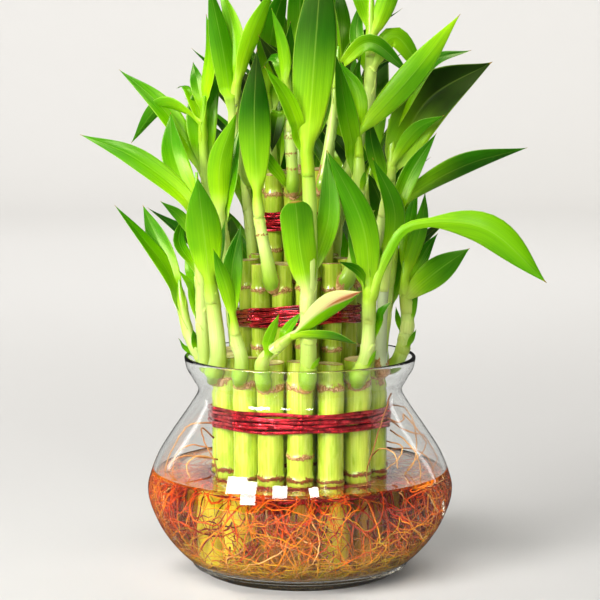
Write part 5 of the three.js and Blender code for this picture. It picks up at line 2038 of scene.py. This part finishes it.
def add_root(shell, spots, thick, thin, sides, tone=None):
    """A root as a fine tube along its walk, in one tone or in the tones of its places."""
    steps = np.diff(spots, axis=0)
    along = np.vstack([steps[:1], steps[:-1] + steps[1:], steps[-1:]])
    along /= np.maximum(np.linalg.norm(along, axis=1), 1e-6)[:, None]
    shares = np.linspace(0, 1, len(spots))
    corners, faces = tube(spots, along, thick + (thin - thick) * shares ** 0.8, sides)
    radius = np.hypot(spots[:, 0], spots[:, 1])
    deep = np.clip((60 - radius) / 12, 0, 1)
    tones = tone_by_place(spots, radius) if tone is None else np.full(len(spots), tone)
    shell.add(corners, faces, grain=corners + 40 * root_rng.uniform(-1, 1, 3),
              tone=np.repeat(tones, sides), deep=np.repeat(deep, sides))


print("values on a root:", ROOT_VALUES)

# %% Main roots and floor roots
MAIN_ROOTS = 620
FLOOR_ROOTS = 380
ROOT_GAPS = [(-66, -38, 0.7), (12, 34, 0.45)]


def left_out(spots):
    """Whether a root is left out, to open a gap through which the clean canes show."""
    turn = np.degrees(np.arctan2(spots[:, 0], -spots[:, 1]))
    for low, high, chance in ROOT_GAPS:
        if np.mean((turn > low) & (turn < high)) > 0.3:
            return root_rng.uniform() < chance
    return False


def main_root(stalk):
    """A root that starts on a cane, often just below the surface, and mostly heads down."""
    turn = stalk.angle + root_rng.uniform(-60, 60)
    high = root_rng.uniform() < 0.34
    height = root_rng.uniform(45, 53) if high else root_rng.uniform(9, 45)
    start = stalk.middle + heading(turn) * stalk.tier.radius * 0.92
    start[2] = height
    way = unit(heading(turn) + np.array([0, 0, root_rng.uniform(-1.4, 0.2)]))
    return walk(start, way, int(root_rng.uniform(9, 26)), 0.16)


def floor_root():
    """A root that lies low and runs round the bowl."""
    turn = root_rng.uniform(0, 360)
    start = heading(turn) * root_rng.uniform(38, 60)
    start[2] = root_rng.uniform(8, 17)
    way = unit(heading(turn + 90 * root_rng.choice([-1, 1])) + 0.5 * root_rng.normal(0, 1, 3))
    spots = walk(start, way, int(root_rng.uniform(8, 22)), 0.2)
    spots[:, 2] = np.minimum(spots[:, 2], 15 + 0.3 * (spots[:, 2] - 15))
    return np.array([kept_in_water(spot) for spot in spots])


outer_stalks = [stalk for stalk in STALKS.values() if stalk.tier is OUTER]
main_shell = Shell(*ROOT_VALUES)
walks = []
for number in range(MAIN_ROOTS):
    spots = main_root(outer_stalks[number % len(outer_stalks)])
    if left_out(spots):
        continue
    walks.append(spots)
    tone = 1.0 if root_rng.uniform() < 0.08 else None
    add_root(main_shell, spots, root_rng.uniform(0.34, 0.64), 0.2, 5, tone)
for number in range(FLOOR_ROOTS):
    spots = floor_root()
    add_root(main_shell, spots, root_rng.uniform(0.3, 0.54), 0.2, 5, root_rng.uniform(0, 0.14))
make_piece("main_roots", main_shell, ROOT_SKIN, ["roots"])
print("long roots:", len(walks) + FLOOR_ROOTS, "faces:", len(main_shell.faces))

# %% Side roots
SIDE_ROOTS = 1800


def side_root(parent):
    """A short root that starts part of the way along another."""
    at = int(root_rng.integers(2, len(parent) - 1))
    way = unit(unit(parent[at] - parent[at - 1]) + 0.8 * root_rng.normal(0, 1, 3))
    return walk(parent[at], way, int(root_rng.uniform(3, 10)), 0.22)


side_shell = Shell(*ROOT_VALUES)
for number in range(SIDE_ROOTS):
    spots = side_root(walks[int(root_rng.integers(len(walks)))])
    add_root(side_shell, spots, root_rng.uniform(0.16, 0.32), 0.1, 4)
make_piece("side_roots", side_shell, ROOT_SKIN, ["roots"])
print("side roots:", SIDE_ROOTS, "faces:", len(side_shell.faces))

# %% [markdown]
# Roots in the air
#
# A few canes also rooted above the water. Those roots are pale and tan, hang in long loops and dip
# into the surface. There are only a few and each is seen clearly, so they are listed: rows of x,
# height and depth.

# %% Air roots
AIR_ROOTS = [
    [(47.5, 97, -20), (46, 90, -26), (43, 80, -30), (39, 66, -34), (35.5, 54, -36), (36, 46, -38)],
    [(44, 84, -14), (52, 80, -22), (58, 84, -20), (65, 76, -16), (66, 66, -14), (58, 56, -16),
     (54, 48, -20)],
    [(47, 82, -4), (56, 76, -8), (66, 73, -8), (72, 71, -6), (75, 64, -4), (70, 54, -6)],
    [(48, 76, -10), (56, 70, -18), (62, 62, -22), (64, 52, -22), (60, 44, -26)],
    [(48, 90, 2), (56, 88, -4), (60, 80, -6), (62, 68, -8), (60, 57, -10), (52, 50, -14)],
    [(46, 70, -18), (54, 67, -26), (52, 60, -30), (46, 55, -33)],
    [(49, 66, 4), (60, 66, 0), (68, 61, -4), (72, 53, -4)],
    [(38, 62, -26), (43, 66, -34), (50, 63, -36), (52, 55, -36)],
    [(-46, 80, -6), (-58, 79, -8), (-64, 72, -8), (-70, 61, -6), (-72, 53, -6)],
    [(-46, 72, -12), (-52, 77, -18), (-50, 68, -22), (-45, 58, -26), (-44, 50, -28)],
    [(-47, 66, -2), (-58, 68, -6), (-66, 63, -6), (-68, 54, -8)],
    [(-44, 60, -20), (-54, 62, -24), (-60, 57, -24), (-58, 49, -26)],
    [(-48, 61, 2), (-62, 62, -2), (-70, 57, -2), (-68, 50, -4)],
]
AIR_TONES = [0.95, 0.98, 1.0]
air_shell = Shell(*ROOT_VALUES)
for row in AIR_ROOTS:
    line = Line([seen_at(x, z, y) for x, z, y in row])
    spots = line.at(np.linspace(0, 1, 5 * len(row)))
    spots = spots + root_rng.normal(0, 0.12, spots.shape)
    radius = np.hypot(spots[:, 0], spots[:, 1])
    limit = wall_radius(spots[:, 2]) - WALL_CLEARANCE
    spots[:, :2] *= np.minimum(1, limit / radius)[:, None]
    add_root(air_shell, spots, root_rng.uniform(0.4, 0.55), 0.25, 6, root_rng.choice(AIR_TONES))
make_piece("air_roots", air_shell, ROOT_SKIN, ["roots"])
print("air roots:", len(AIR_ROOTS))
